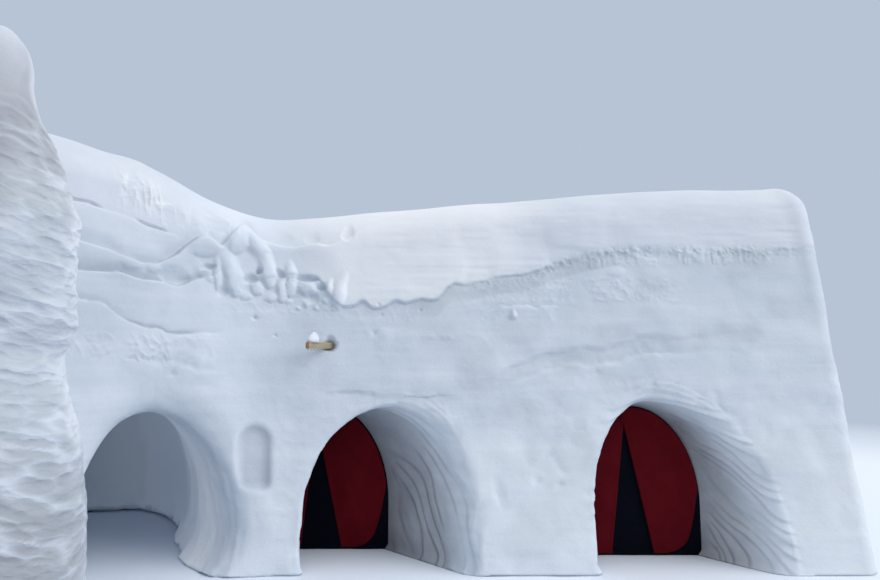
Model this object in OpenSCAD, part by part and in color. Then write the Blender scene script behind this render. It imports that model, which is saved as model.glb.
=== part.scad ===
// Snow igloo block: three domed rooms in one mass of blown and compacted snow.
// The block is bent round a small court, and three arched tunnels lead into it.
// Frame: x along the front to the right, y into the snow, z up, millimetres.
// The origin is in the base of the pillar left of the east doorway.
// Headings are degrees to the left of straight in (+y), for someone in the court.

/* [Mass of snow] */
// Foot of the straight front face
front_y = -500; // [-600:10:-400]
// How far to the left of the middle door the straight front ends and the bend begins
bend_left = 160; // [80:10:220]
// Radius of the foot line in the bend, round a point in the court
bend_r = 1200; // [1000:10:1440]
// Angle that the wing turns towards the court
wing_turn = 45; // [42:1:48]
// Least thickness of snow behind the rooms
back_wall_t = 650; // [500:10:1000]
// Snow to the right of the east doorway
right_wall_w = 870; // [700:10:1300]
// Length of that which is a piece of its own
end_wall_t = 700; // [500:10:800]
// Snow to the left of the wing's doorway, as far as the wing's end wall
left_wall_w = 1000; // [900:10:1200]
// Length of the wing's end wall
wing_end_wall_t = 1700; // [1650:10:2300]
// Lean of the front face, in depth for each unit of height
front_batter = 0.2; // [0.1:0.01:0.24]
// Lean of the back face
back_batter = 0.14; // [0.05:0.01:0.25]
// Lean of the right end wall
right_batter = 0.03; // [0.02:0.005:0.15]
// Lean of the wing's end wall
wing_end_batter = 0.11; // [0.05:0.005:0.2]
// Rounding of the upright edges at the two ends
end_r = 320; // [150:10:400]
// Rounding of the roof edge
crest_r = 480; // [300:10:520]
// How far the fresh snow of the cap stands proud of the face below it
cap_lip = 40; // [10:5:80]
// Height over which that lip runs out
cap_lip_h = 90; // [60:5:120]

/* [Rooms] */
// Inner radius of each room
room_r = 1150; // [900:10:1380]
// Height at which the dome of a room begins
room_spring = 500; // [400:10:600]
// Height of the rooms at their middle
room_h = 1720; // [1430:10:2070]
// Snow between the door opening and the room, on the middle line
neck = 400; // [300:10:480]
// Least snow between the east and the middle room
party_wall_t = 770; // [650:10:900]
// Heading from the east to the middle room
party_way = 85.3; // [84:0.1:87]

/* [Doorways] */
// Height at which the arches begin
arch_spring = 500; // [400:10:600]
// Half width of the door openings
door_half_w = 700; // [580:10:760]
// Height of the door openings
door_h = 1500; // [1250:10:1800]
// Width of the ledge of snow behind each door
door_rebate = 60; // [30:5:90]
// Length of the straight reveal that each door is set in
reveal = 60; // [50:5:100]
// Foot of the east door
east_door = [960, 140];
// Heading of the way from the east door to its room
east_way = 19.5; // [15:0.5:24]
// Heading of the way from the middle door to its room
middle_way = 14; // [10:0.5:18]
// Place of the wing's doorway, from the end of the bend
wing_mouth_run = 130; // [100:10:300]
// Length of the wing's tunnel as far as the room's neck, which has no door
wing_tunnel_l = 1100; // [900:10:1300]
// Heading of the wing's tunnel
wing_way = 48; // [46:0.5:50]

/* [Mouths of the tunnels, where they come out of the face] */
// How far the top of the east mouth lies to the right of its door
east_mouth_right = 190; // [140:10:240]
// Widths to the left and right of that line
east_mouth_w = [650, 1090];
// Heights at which its left and right side begin to curve
east_mouth_spring = [500, 40];
// Rise of its top above the door opening
east_mouth_rise = 110; // [60:5:140]
// How far the top of the middle mouth lies to the right of its door
middle_mouth_right = 840; // [790:10:890]
// Widths to the left and right of that line
middle_mouth_w = [870, 720];
// Heights at which its left and right side begin to curve
middle_mouth_spring = [500, 400];
// Rise of its top above the door opening
middle_mouth_rise = 0; // [-20:5:60]
// Widths to the left and right of the top of the wing's mouth
wing_mouth_w = [640, 690];
// Heights at which its left and right side begin to curve
wing_mouth_spring = [420, 380];
// Rise of its top above the height of its tunnel
wing_mouth_rise = 0; // [-20:5:60]
// How the tunnels narrow: 1 is evenly, less is faster near the mouth
flare_power = 0.8; // [0.7:0.05:1]
// How far the tunnels are cut beyond the face
mouth_past = 300; // [200:10:400]

/* [Layers] */
// Top of the first lift, which is the ledge of the niche
course_top = 760; // [640:10:910]
// Least snow above the mouths
crown_t = 220; // [150:10:300]
// Height of the middle of the roof above its edges
roof_crown = 60; // [20:5:100]

/* [Fabric doors] */
// Thickness of the black backing sheet
backing_t = 20; // [12:1:40]
// Thickness of a red flap
flap_t = 14; // [8:1:20]
// Gap between the cloth and the snow around it
door_gap = 3; // [1:1:6]
// How far below the top of the door the two flaps part
parting_drop = 190; // [100:10:400]
// Half width of the parting at the floor
parting_half_w = 225; // [120:5:280]
// Radius of the right flap's lower outer corner
flap_corner_r = 420; // [200:10:440]

/* [Batten] */
// Width and height of the batten
batten = [42, 62];
// Length that sticks out of the snow
batten_out = 290; // [150:10:400]
// Length inside the snow
batten_in = 260; // [100:10:400]
// Place along the front, from the start of the bend
batten_s = 250; // [200:10:300]
// Height above the rooms
batten_rise = 400; // [350:10:440]
// Heading of the batten
batten_turn = -30; // [-45:1:10]
// Radius of the snow lying on it
batten_snow_r = 58; // [30:1:80]

/* [Niche] */
// Width and height of the shallow niche
niche = [300, 560];
// Depth of the niche
niche_depth = 70; // [30:5:120]
// Place of the niche round the bend, in degrees
niche_turn = 16; // [14:1:18]

/* [Pier] */
// Place where the pier leaves the wing, from the end of the bend
pier_run = 2220; // [2150:10:2600]
// Length of the pier to the middle of its round nose
pier_l = 1540; // [1300:10:1900]
// Heading from its nose to the wing
pier_turn = 60; // [55:1:62]
// Half of its thickness
pier_half_t = 500; // [420:10:520]
// Height of the pier above the ceiling of the rooms
pier_rise = 2230; // [2000:10:2500]
// Height of the joint below its narrowing top
pier_joint_h = 2700; // [2500:10:2850]

/* [Hidden] */

// Longer than anything in the model
far = 20000;
// How far a cutting tool runs past what it cuts
past = 50;
// How far outside the face a mouth's outline stands, so that none of its edges lies in the face
proud = 10;
// Facets round a room, and their turn, which keeps their edges clear of the cuts between pieces
room_facets = 128;
room_facet_turn = 0.7;

snow = [0.93, 0.95, 0.99];
old_snow = [0.86, 0.90, 0.96];
red_cloth = [0.55, 0.03, 0.08];
black_cloth = [0.04, 0.05, 0.09];
timber = [0.72, 0.52, 0.33];

// Directions in plan: ahead is the heading itself, aside is to its right
function ahead(turn) = [-sin(turn), cos(turn)];
function aside(turn) = [cos(turn), sin(turn)];
function heading(from, to) = atan2(from[0] - to[0], to[1] - from[1]);

// The east and the middle room, straight behind their doors: the second one is placed
// from the first by the snow between them, and its door from it
room_way = neck + room_r;
east_room = east_door + room_way * ahead(east_way);
middle_room = east_room + (2 * room_r + party_wall_t) * ahead(party_way);
middle_door = middle_room - room_way * ahead(middle_way);
east_mouth_x = east_door[0] + east_mouth_right;
middle_mouth_x = middle_door[0] + middle_mouth_right;

// The foot line, measured from the start of the bend: the front is positive, and the bend
// and the wing are negative
bend_x = middle_door[0] - bend_left;
bend_length = bend_r * wing_turn * PI / 180;
bend_centre = [bend_x, front_y - bend_r];
function in_plan(s, depth) =
    s >= 0 ? [bend_x + s, front_y + depth]
    : s >= -bend_length
        ? bend_centre + (bend_r + depth) * ahead(-s / bend_r * 180 / PI)
        : bend_centre + (bend_r + depth) * ahead(wing_turn)
            + (s + bend_length) * aside(wing_turn);
function on_wing(run, depth) = in_plan(-bend_length - run, depth);

// Ends of the run, from the doorways outwards
east_end_x = east_mouth_x + east_mouth_w[1] + right_wall_w;
end_wall_x = east_end_x - end_wall_t;
wing_bay_l = wing_mouth_run + wing_mouth_w[0] + left_wall_w;
east_s = east_end_x - bend_x;
wing_s = -bend_length - wing_bay_l - wing_end_wall_t;

// The wing's tunnel and room
wing_mouth = on_wing(wing_mouth_run, 0);
wing_throat = wing_mouth + wing_tunnel_l * ahead(wing_way);
wing_room = wing_throat + room_way * ahead(wing_way);

// Depth of the mass: behind the room that reaches in furthest
room_depths = [east_room[1] - front_y,
    norm(middle_room - bend_centre) - bend_r,
    (wing_room - bend_centre) * ahead(wing_turn) - bend_r];
mass_depth = max(room_depths) + room_r + back_wall_t;

// Joints between the bays: half way between two mouths and half way between two rooms
east_joint = [(middle_mouth_x + middle_mouth_w[1] + east_mouth_x - east_mouth_w[0]) / 2, front_y];
east_joint_turn = heading(east_joint, (middle_room + east_room) / 2);
wing_joint = (wing_mouth + wing_mouth_w[1] * aside(wing_turn)
    + [middle_mouth_x - middle_mouth_w[0], front_y]) / 2;
wing_joint_turn = heading(wing_joint, (middle_room + wing_room) / 2);

// Heights of the layer joints and of the roof above the rooms' ceiling, by place on the foot
// line: the snow was blown in drifts, so the joints dip towards the bend
ceiling = max(room_h, door_h + crown_t);
wall_top_at = [[wing_s, 800], [-2200, 760], [-1350, 676], [-942, 530], [-600, 505], [300, 280],
    [1910, 140], [2630, 325], [3230, 417], [4370, 570], [east_s, 610]];
cap_foot_at = [[wing_s, 1680], [-1440, 1600], [-800, 1430], [-300, 1030], [300, 730],
    [960, 850], [1400, 900], [2630, 1260], [3270, 1410], [east_s, 1410]];
roof_at = [[wing_s, 2380], [-2400, 2390], [-1440, 2370], [-940, 2260], [-630, 2020],
    [-310, 1840], [0, 1855], [900, 1895], [2000, 1980], [3000, 2080], [4200, 2145],
    [east_s, 2170]];
function wall_top(s) = ceiling + lookup(s, wall_top_at);
function cap_foot(s) = ceiling + lookup(s, cap_foot_at);
function roof(s) = ceiling + lookup(s, roof_at);

// How far the faces draw in at the rounded ends, and how far the ends lean
lean_l = 1000;
function draw_in(s) =
    let (rest = min(east_s - s, s - wing_s))
    rest >= end_r ? 0 : end_r - sqrt(end_r * end_r - (end_r - rest) * (end_r - rest));
function lean(s) =
    right_batter * min(0, east_s - lean_l - s) / lean_l
    - wing_end_batter * min(0, s - wing_s - lean_l) / lean_l;
function point_at(s, depth, z) =
    let (p = in_plan(s + lean(s) * z, depth))
    [p[0], p[1], z];

// Stations along the run: closer together in the bend and at the rounded ends
end_steps = [for (a = [0:22.5:90]) end_r * (1 - cos(a))];
stations = concat(
    [for (step = end_steps) wing_s + step],
    [for (i = [1:3]) wing_s + lean_l + (i - 1) / 3 * (-bend_length - wing_s - lean_l)],
    [for (i = [5:-1:0]) -bend_length * i / 5],
    [for (i = [1:6]) i * (east_s - lean_l) / 6],
    [for (i = [4:-1:0]) east_s - end_steps[i]]);

// Outline of one layer at a station
function layer_ring(s, low, high) =
    let (e = draw_in(s))
    [point_at(s, front_batter * low + e, low),
     point_at(s, front_batter * high + e, high),
     point_at(s, mass_depth - back_batter * high - e, high),
     point_at(s, mass_depth - back_batter * low - e, low)];

// Outline of the cap at a station: both roof edges are rounded
function cap_ring(s) =
    let (e = draw_in(s), low = cap_foot(s), top = roof(s) - e, lip_top = low + cap_lip_h,
         r = min(crest_r, top - lip_top - 20),
         front = front_batter * (top - r) + e - cap_lip,
         back = mass_depth - back_batter * (top - r) - e)
    concat(
        [point_at(s, front_batter * low + e, low),
         point_at(s, front_batter * lip_top + e - cap_lip, lip_top)],
        [for (a = [0:18:90])
            point_at(s, front + (r + cap_lip) * (1 - cos(a)), top - r + r * sin(a))],
        [point_at(s, mass_depth * 0.5, top + roof_crown)],
        [for (a = [90:-18:0]) point_at(s, back - r * (1 - cos(a)), top - r + r * sin(a))],
        [point_at(s, mass_depth - back_batter * low - e, low)]);

// Solid through a row of outlines that all have the same number of points, each of them
// clockwise for someone who looks along the row. The closing side is split along its other
// diagonal, so that the bottom of a layer matches the top of the layer below.
module loft(rings) {
    n = len(rings[0]);
    last = (len(rings) - 1) * n;
    points = [for (ring = rings) each ring];
    sides = [for (i = [0:n:last - n]) for (j = [0:n - 1]) let (k = (j + 1) % n)
        each k == 0
            ? [[i + j, i + k, i + n + j], [i + k, i + n + k, i + n + j]]
            : [[i + j, i + k, i + n + k], [i + j, i + n + k, i + n + j]]];
    ends = [[for (j = [n - 1:-1:0]) j], [for (j = [0:n - 1]) last + j]];
    polyhedron(points, concat(sides, ends));
}

// The four layers of the mass
module first_lift() {
    loft([for (s = stations) layer_ring(s, 0, course_top)]);
}

module wall_lift() {
    loft([for (s = stations) layer_ring(s, course_top, wall_top(s))]);
}

module middle_lift() {
    loft([for (s = stations) layer_ring(s, wall_top(s), cap_foot(s))]);
}

module cap_lift() {
    loft([for (s = stations) cap_ring(s)]);
}

// Everything ahead of an upright plane through a point
module ahead_of(p, turn) {
    translate([p[0], p[1], -past])
        rotate([0, 0, turn])
            translate([-far, 0, 0])
                cube([2 * far, far, far]);
}

// The five stretches of the mass
module east_bay() {
    intersection() {
        ahead_of(east_joint, east_joint_turn - 90);
        ahead_of([end_wall_x, 0], 90);
    }
}

module middle_bay() {
    intersection() {
        ahead_of(east_joint, east_joint_turn + 90);
        ahead_of(wing_joint, wing_joint_turn - 90);
    }
}

module wing_bay() {
    intersection() {
        ahead_of(wing_joint, wing_joint_turn + 90);
        ahead_of(on_wing(wing_bay_l, 0), wing_turn - 90);
    }
}

module east_end() {
    ahead_of([end_wall_x, 0], -90);
}

module wing_end() {
    ahead_of(on_wing(wing_bay_l, 0), wing_turn + 90);
}

// Arch outline from its right foot to its left: a quarter ellipse on each side of its top
function arch(w, h, spring, foot) = concat(
    [[w[1], foot]],
    [for (a = [0:12:84]) [w[1] * cos(a), spring[1] + (h - spring[1]) * sin(a)]],
    [[0, h]],
    [for (a = [84:-12:0]) [-w[0] * cos(a), spring[0] + (h - spring[0]) * sin(a)]],
    [[-w[0], foot]]);

// The same outline standing at a point across a heading, leaning back by a batter
function arch_ring(at, turn, outline, batter) = [for (p = outline)
    let (q = at + p[0] * aside(turn) + batter * p[1] * ahead(turn)) [q[0], q[1], p[1]]];

// Outlines of the door opening, of the narrower way behind it, and of a mouth
door_w = [door_half_w, door_half_w];
way_w = [door_half_w - door_rebate, door_half_w - door_rebate];
spring_both = [arch_spring, arch_spring];
door_arch = arch(door_w, door_h, spring_both, -past);
way_arch = arch(way_w, door_h - door_rebate, spring_both, -past);

// From outside the face to the door, with a straight reveal for the door. The tunnel narrows
// fast behind its mouth and slowly towards the door.
module porch(foot, turn, w, h, spring, door, door_turn) {
    mouth_arch = arch(w, h, spring, -past);
    start = foot - proud * ahead(turn);
    inset = door - reveal * ahead(door_turn);
    origin = [0, 0];
    wide = arch_ring(origin, turn, mouth_arch, front_batter);
    narrow = arch_ring(origin, door_turn, door_arch, 0);
    flare = [for (t = [0:0.25:1])
        let (u = pow(t, flare_power), p = start + (inset - start) * t)
        [for (i = [0:len(wide) - 1]) [p[0], p[1], 0] + wide[i] + (narrow[i] - wide[i]) * u]];
    loft(concat([arch_ring(start - mouth_past * ahead(turn), turn, mouth_arch, front_batter)],
                flare,
                [arch_ring(door, door_turn, door_arch, 0)]));
}

// From a door to the middle of its room
module passage(door, door_turn, outline, room) {
    loft([arch_ring(door - reveal / 2 * ahead(door_turn), door_turn, outline, 0),
          arch_ring(room, heading(door, room), outline, 0)]);
}

// Half an egg standing on a round wall
module room_hollow(centre) {
    translate([centre[0], centre[1], 0])
        rotate([0, 0, room_facet_turn])
            rotate_extrude($fn = room_facets)
                polygon(concat(
                    [[0, -past], [room_r, -past]],
                    [for (a = [0:10:80])
                        [room_r * cos(a), room_spring + (room_h - room_spring) * sin(a)]],
                    [[0, room_h]]));
}

// Each hollow: what lies behind the door, and the tunnel in front of it
module east_inside() {
    passage(east_door, 0, way_arch, east_room);
    room_hollow(east_room);
}

module middle_inside() {
    passage(middle_door, 0, way_arch, middle_room);
    room_hollow(middle_room);
}

module wing_inside() {
    passage(wing_throat, wing_way, door_arch, wing_room);
    room_hollow(wing_room);
}

module east_hollow() {
    porch([east_mouth_x, front_y], 0, east_mouth_w, door_h + east_mouth_rise,
          east_mouth_spring, east_door, 0);
    east_inside();
}

module middle_hollow() {
    porch([middle_mouth_x, front_y], 0, middle_mouth_w, door_h + middle_mouth_rise,
          middle_mouth_spring, middle_door, 0);
    middle_inside();
}

module wing_hollow() {
    porch(wing_mouth, wing_turn, wing_mouth_w, door_h + wing_mouth_rise,
          wing_mouth_spring, wing_throat, wing_way);
    wing_inside();
}

// One side of the line through a door and its room: -1 left, 1 right
module side_of_way(door, room, side) {
    ahead_of(room, heading(door, room) - side * 90);
}

// The front and back halves of the first lift round a room, left or right of its way
module jamb(door, room, side) {
    intersection() {
        first_lift();
        ahead_of(room, heading(door, room) + 180);
        side_of_way(door, room, side);
    }
}

module room_wall(door, room, side) {
    intersection() {
        first_lift();
        ahead_of(room, heading(door, room));
        side_of_way(door, room, side);
    }
}

// The wall lift over a doorway, and the two halves of the dome behind it
module over_door(door, room) {
    turn = heading(door, room);
    intersection() {
        wall_lift();
        ahead_of(door + neck * ahead(turn), turn + 180);
    }
}

module over_room(door, room, side) {
    turn = heading(door, room);
    intersection() {
        wall_lift();
        ahead_of(door + neck * ahead(turn), turn);
        side_of_way(door, room, side);
    }
}

// Half of that: before the middle of the room if turned is 180, behind it if turned is 0
module quarter_over_room(door, room, side, turned) {
    intersection() {
        over_room(door, room, side);
        ahead_of(room, heading(door, room) + turned);
    }
}

// What is common to the last two children but not in the first: a piece of a bay
module piece(shade) {
    color(shade)
        difference() {
            intersection() {
                children(1);
                children(2);
            }
            children(0);
        }
}

// A piece of a layer that no hollow reaches
module layer_piece(shade) {
    color(shade)
        intersection() {
            children(0);
            children(1);
        }
}

module end_wall() {
    color(snow)
        intersection() {
            union() {
                first_lift();
                wall_lift();
            }
            children();
        }
}

// East bay
module east_jamb_left() {
    piece(snow) {
        east_hollow();
        east_bay();
        jamb(east_door, east_room, -1);
    }
}

module east_jamb_right() {
    piece(snow) {
        east_hollow();
        east_bay();
        jamb(east_door, east_room, 1);
    }
}

module east_room_wall_left() {
    piece(snow) {
        room_hollow(east_room);
        east_bay();
        room_wall(east_door, east_room, -1);
    }
}

module east_room_wall_right() {
    piece(snow) {
        room_hollow(east_room);
        east_bay();
        room_wall(east_door, east_room, 1);
    }
}

module east_arch() {
    piece(snow) {
        east_hollow();
        east_bay();
        over_door(east_door, east_room);
    }
}

module east_dome_left() {
    piece(snow) {
        east_inside();
        east_bay();
        over_room(east_door, east_room, -1);
    }
}

module east_dome_right() {
    piece(snow) {
        east_inside();
        east_bay();
        over_room(east_door, east_room, 1);
    }
}

module east_middle_lift() {
    layer_piece(old_snow) {
        middle_lift();
        ahead_of(east_joint, east_joint_turn - 90);
    }
}

module east_snow_cap() {
    layer_piece(snow) {
        cap_lift();
        ahead_of(east_joint, east_joint_turn - 90);
    }
}

module east_end_wall() {
    end_wall()
        east_end();
}

// Middle bay
module middle_jamb_left() {
    piece(snow) {
        middle_hollow();
        middle_bay();
        jamb(middle_door, middle_room, -1);
    }
}

module middle_jamb_right() {
    piece(snow) {
        middle_hollow();
        middle_bay();
        jamb(middle_door, middle_room, 1);
    }
}

module middle_room_wall_left() {
    piece(snow) {
        room_hollow(middle_room);
        middle_bay();
        room_wall(middle_door, middle_room, -1);
    }
}

module middle_room_wall_right() {
    piece(snow) {
        room_hollow(middle_room);
        middle_bay();
        room_wall(middle_door, middle_room, 1);
    }
}

module middle_arch() {
    piece(snow) {
        middle_hollow();
        middle_bay();
        over_door(middle_door, middle_room);
    }
}

module middle_dome_front_left() {
    piece(snow) {
        middle_inside();
        middle_bay();
        quarter_over_room(middle_door, middle_room, -1, 180);
    }
}

module middle_dome_front_right() {
    piece(snow) {
        middle_inside();
        middle_bay();
        quarter_over_room(middle_door, middle_room, 1, 180);
    }
}

module middle_dome_back_left() {
    piece(snow) {
        middle_inside();
        middle_bay();
        quarter_over_room(middle_door, middle_room, -1, 0);
    }
}

module middle_dome_back_right() {
    piece(snow) {
        middle_inside();
        middle_bay();
        quarter_over_room(middle_door, middle_room, 1, 0);
    }
}

module middle_middle_lift() {
    piece(old_snow) {
        batten_stub();
        middle_bay();
        middle_lift();
    }
}

module middle_snow_cap() {
    layer_piece(snow) {
        cap_lift();
        middle_bay();
    }
}

// Wing
module wing_jamb_left() {
    piece(snow) {
        wing_hollow();
        wing_bay();
        jamb(wing_throat, wing_room, -1);
    }
}

module wing_jamb_right() {
    piece(snow) {
        wing_hollow();
        wing_bay();
        jamb(wing_throat, wing_room, 1);
    }
}

module wing_room_wall_left() {
    piece(snow) {
        room_hollow(wing_room);
        wing_bay();
        room_wall(wing_throat, wing_room, -1);
    }
}

module wing_room_wall_right() {
    piece(snow) {
        room_hollow(wing_room);
        wing_bay();
        room_wall(wing_throat, wing_room, 1);
    }
}

module wing_arch() {
    difference() {
        piece(snow) {
            wing_hollow();
            wing_bay();
            over_door(wing_throat, wing_room);
        }
        niche_hollow();
    }
}

module wing_dome_left() {
    piece(snow) {
        wing_inside();
        wing_bay();
        over_room(wing_throat, wing_room, -1);
    }
}

module wing_dome_right() {
    piece(snow) {
        wing_inside();
        wing_bay();
        over_room(wing_throat, wing_room, 1);
    }
}

module wing_middle_lift() {
    layer_piece(old_snow) {
        middle_lift();
        ahead_of(wing_joint, wing_joint_turn + 90);
    }
}

module wing_snow_cap() {
    layer_piece(snow) {
        cap_lift();
        ahead_of(wing_joint, wing_joint_turn + 90);
    }
}

module wing_end_wall() {
    end_wall()
        wing_end();
}

// Niche: upright, with a round head, its foot on the first lift
module niche_hollow() {
    r = niche[0] / 2;
    middle_z = course_top + niche[1] / 2;
    translate([bend_centre[0], bend_centre[1], course_top])
        rotate([0, 0, niche_turn])
            translate([0, bend_r + front_batter * middle_z + niche_depth, 0])
                rotate([90, 0, 0])
                    linear_extrude(3 * niche_depth) {
                        translate([0, niche[1] - r])
                            circle(r, $fn = 48);
                        translate([-r, 0])
                            square([niche[0], niche[1] - r]);
                    }
}

// Pier: a short wall with a round nose, which narrows to a rounded top and ends against the wing.
// Its half thickness, as a share of the widest, by share of its height
pier_h = ceiling + pier_rise;
pier_nose = on_wing(pier_run, 0) - pier_l * ahead(pier_turn);
pier_shape_at = [[0, 1.08], [0.13, 1.06], [0.25, 1.03], [0.3, 1], [0.36, 0.97], [0.48, 0.86],
    [0.55, 0.84], [0.6, 0.93], [0.71, 0.95], [0.76, 0.84], [0.8, 0.73], [0.84, 0.59], [0.89, 0.46],
    [0.93, 0.41], [0.97, 0.28], [1, 0.1]];
function pier_half(z) = pier_half_t * lookup(z / pier_h, pier_shape_at);
function pier_heights(low, high) = concat(
    [low],
    [for (row = pier_shape_at) if (row[0] * pier_h > low && row[0] * pier_h < high) row[0] * pier_h],
    [high]);
function pier_ring(z) =
    let (r = pier_half(z), back = ahead(pier_turn), right = aside(pier_turn),
         root = pier_nose + (pier_l + 2 * pier_half_t) * back,
         plan = concat(
             [root + r * right],
             [for (a = [0:18:180]) pier_nose + r * cos(a) * right - r * sin(a) * back],
             [root - r * right]))
    [for (p = plan) [p[0], p[1], z]];

module pier_part(low, high) {
    color(snow)
        difference() {
            loft([for (z = pier_heights(low, high)) pier_ring(z)]);
            children();
        }
}

module pier_base() {
    pier_part(0, course_top)
        first_lift();
}

module pier_middle() {
    pier_part(course_top, pier_joint_h) {
        wall_lift();
        middle_lift();
    }
}

module pier_cap() {
    pier_part(pier_joint_h, pier_h) {
        middle_lift();
        cap_lift();
    }
}

// Fabric doors: a black backing with two red flaps in front of it
cloth_arch = arch([for (w = door_w) w - door_gap], door_h - door_gap, spring_both, 0);

module door_sheet(door, in_front, thick) {
    translate([door[0], door[1] - in_front, 0])
        rotate([90, 0, 0])
            linear_extrude(thick)
                intersection() {
                    polygon(cloth_arch);
                    children();
                }
}

module door_backing(door) {
    color(black_cloth)
        door_sheet(door, 0, backing_t)
            translate([-door_half_w, 0])
                square([2 * door_half_w, door_h]);
}

module left_flap(door) {
    color(red_cloth)
        door_sheet(door, backing_t, flap_t)
            polygon([[-door_half_w, 0], [-parting_half_w, 0], [0, door_h - parting_drop],
                     [0, door_h], [-door_half_w, door_h]]);
}

module right_flap(door) {
    w = door_half_w - door_gap;
    color(red_cloth)
        door_sheet(door, backing_t, flap_t)
            difference() {
                polygon([[parting_half_w, 0], [w, 0], [w, door_h], [0, door_h],
                         [0, door_h - parting_drop]]);
                difference() {
                    translate([w - flap_corner_r, -past])
                        square([flap_corner_r + past, flap_corner_r + past]);
                    translate([w - flap_corner_r, flap_corner_r])
                        circle(flap_corner_r, $fn = 64);
                }
            }
}

module east_door_backing() {
    door_backing(east_door);
}

module east_door_left_flap() {
    left_flap(east_door);
}

module east_door_right_flap() {
    right_flap(east_door);
}

module middle_door_backing() {
    door_backing(middle_door);
}

module middle_door_left_flap() {
    left_flap(middle_door);
}

module middle_door_right_flap() {
    right_flap(middle_door);
}

// Batten end that sticks out of the snow, and the snow lying on it
module at_batten() {
    z = ceiling + batten_rise;
    translate(point_at(batten_s, front_batter * z, z))
        rotate([0, 0, batten_turn])
            children();
}

module batten_stub() {
    color(timber)
        at_batten()
            translate([-batten[0] / 2, -batten_out, -batten[1] / 2])
                cube([batten[0], batten_out + batten_in, batten[1]]);
}

module batten_snow() {
    r = batten_snow_r;
    color(snow)
        at_batten()
            intersection() {
                translate([0, r - batten_out, batten[1] / 2 + r * 0.6])
                    sphere(r, $fn = 48);
                translate([-r, -batten_out, batten[1] / 2])
                    cube([2 * r, 2 * r, 2 * r]);
            }
}

east_jamb_left();
east_jamb_right();
east_room_wall_left();
east_room_wall_right();
east_arch();
east_dome_left();
east_dome_right();
east_middle_lift();
east_snow_cap();
east_end_wall();
middle_jamb_left();
middle_jamb_right();
middle_room_wall_left();
middle_room_wall_right();
middle_arch();
middle_dome_front_left();
middle_dome_front_right();
middle_dome_back_left();
middle_dome_back_right();
middle_middle_lift();
middle_snow_cap();
wing_jamb_left();
wing_jamb_right();
wing_room_wall_left();
wing_room_wall_right();
wing_arch();
wing_dome_left();
wing_dome_right();
wing_middle_lift();
wing_snow_cap();
wing_end_wall();
pier_base();
pier_middle();
pier_cap();
east_door_backing();
east_door_left_flap();
east_door_right_flap();
middle_door_backing();
middle_door_left_flap();
middle_door_right_flap();
batten_stub();
batten_snow();
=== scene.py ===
"""Looks of the snow igloo block: three domed rooms in one mass of blown and compacted snow.

The snow is one smooth body, written as a function that is negative inside. Its surface is found
on blocks of cells, fine where the front shows and coarser behind, and gets its layers, ledges,
lumps and shovel marks as relief. It is then cut into one piece for each node of snow.
Lengths are metres, and headings are degrees to the left of straight in (+y).
"""
import math

import bpy
import numpy as np
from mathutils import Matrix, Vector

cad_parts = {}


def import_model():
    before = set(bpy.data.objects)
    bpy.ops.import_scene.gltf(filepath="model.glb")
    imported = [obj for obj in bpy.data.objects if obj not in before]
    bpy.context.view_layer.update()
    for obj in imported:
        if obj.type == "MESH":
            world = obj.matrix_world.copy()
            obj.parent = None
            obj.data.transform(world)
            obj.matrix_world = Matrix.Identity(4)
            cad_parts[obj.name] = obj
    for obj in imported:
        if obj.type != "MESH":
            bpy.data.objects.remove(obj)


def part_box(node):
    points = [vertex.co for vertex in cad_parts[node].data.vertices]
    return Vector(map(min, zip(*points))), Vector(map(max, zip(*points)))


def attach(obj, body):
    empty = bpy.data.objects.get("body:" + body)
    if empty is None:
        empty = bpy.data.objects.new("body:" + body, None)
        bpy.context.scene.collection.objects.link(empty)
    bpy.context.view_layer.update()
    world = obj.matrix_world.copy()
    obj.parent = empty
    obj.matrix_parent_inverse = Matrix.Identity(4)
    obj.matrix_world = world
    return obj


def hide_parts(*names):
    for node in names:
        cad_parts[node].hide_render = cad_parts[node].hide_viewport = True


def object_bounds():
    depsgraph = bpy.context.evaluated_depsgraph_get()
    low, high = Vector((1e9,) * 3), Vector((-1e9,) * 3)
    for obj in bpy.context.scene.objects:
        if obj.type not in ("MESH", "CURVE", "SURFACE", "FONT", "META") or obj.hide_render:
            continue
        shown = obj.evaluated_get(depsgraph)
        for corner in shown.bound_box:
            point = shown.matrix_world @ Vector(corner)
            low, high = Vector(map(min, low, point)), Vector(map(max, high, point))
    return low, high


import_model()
CAD_BOX = [list(corner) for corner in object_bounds()]

# Doorways, from the doors of the frame
DOOR_HALF_W = 0.7
DOOR_H = 1.5
DOOR_REBATE = 0.06
ARCH_SPRING = 0.5
REVEAL = 0.06


def door_foot(bay):
    """Middle of a doorway on the floor, at the back of its door."""
    low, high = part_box(bay + "_door_backing")
    return np.array([(low[0] + high[0]) / 2, high[1]])


EAST_DOOR = door_foot("east")
MIDDLE_DOOR = door_foot("middle")

# Headings of the ways into the rooms
EAST_WAY = 19.5
MIDDLE_WAY = 14.0
WING_WAY = 48.0

# Foot line of the front, the bend and the wing
FRONT_Y = -0.5
BEND_FROM_DOOR = 0.16
BEND_X = MIDDLE_DOOR[0] - BEND_FROM_DOOR
BEND_R = 1.2
WING_TURN = 45.0
BEND_L = BEND_R * math.radians(WING_TURN)
BEND_CENTRE = np.array([BEND_X, FRONT_Y - BEND_R])
FRONT_BATTER = 0.2
BACK_BATTER = 0.14
RIGHT_BATTER = 0.03
RIGHT_END_PROUD = 0.035
WING_END_BATTER = 0.11

# Round edges of the mass, and how much its roof is crowned
END_R = 0.3
RIGHT_END_R = 0.17
BACK_R = 0.45
CREST_R = 0.48
ROOF_CROWN = 0.05

# Rooms
ROOM_R = 1.15
ROOM_SPRING = 0.5
ROOM_H = 1.72
NECK = 0.4
ROOM_WAY = NECK + ROOM_R
BACK_WALL_T = 0.65

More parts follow.
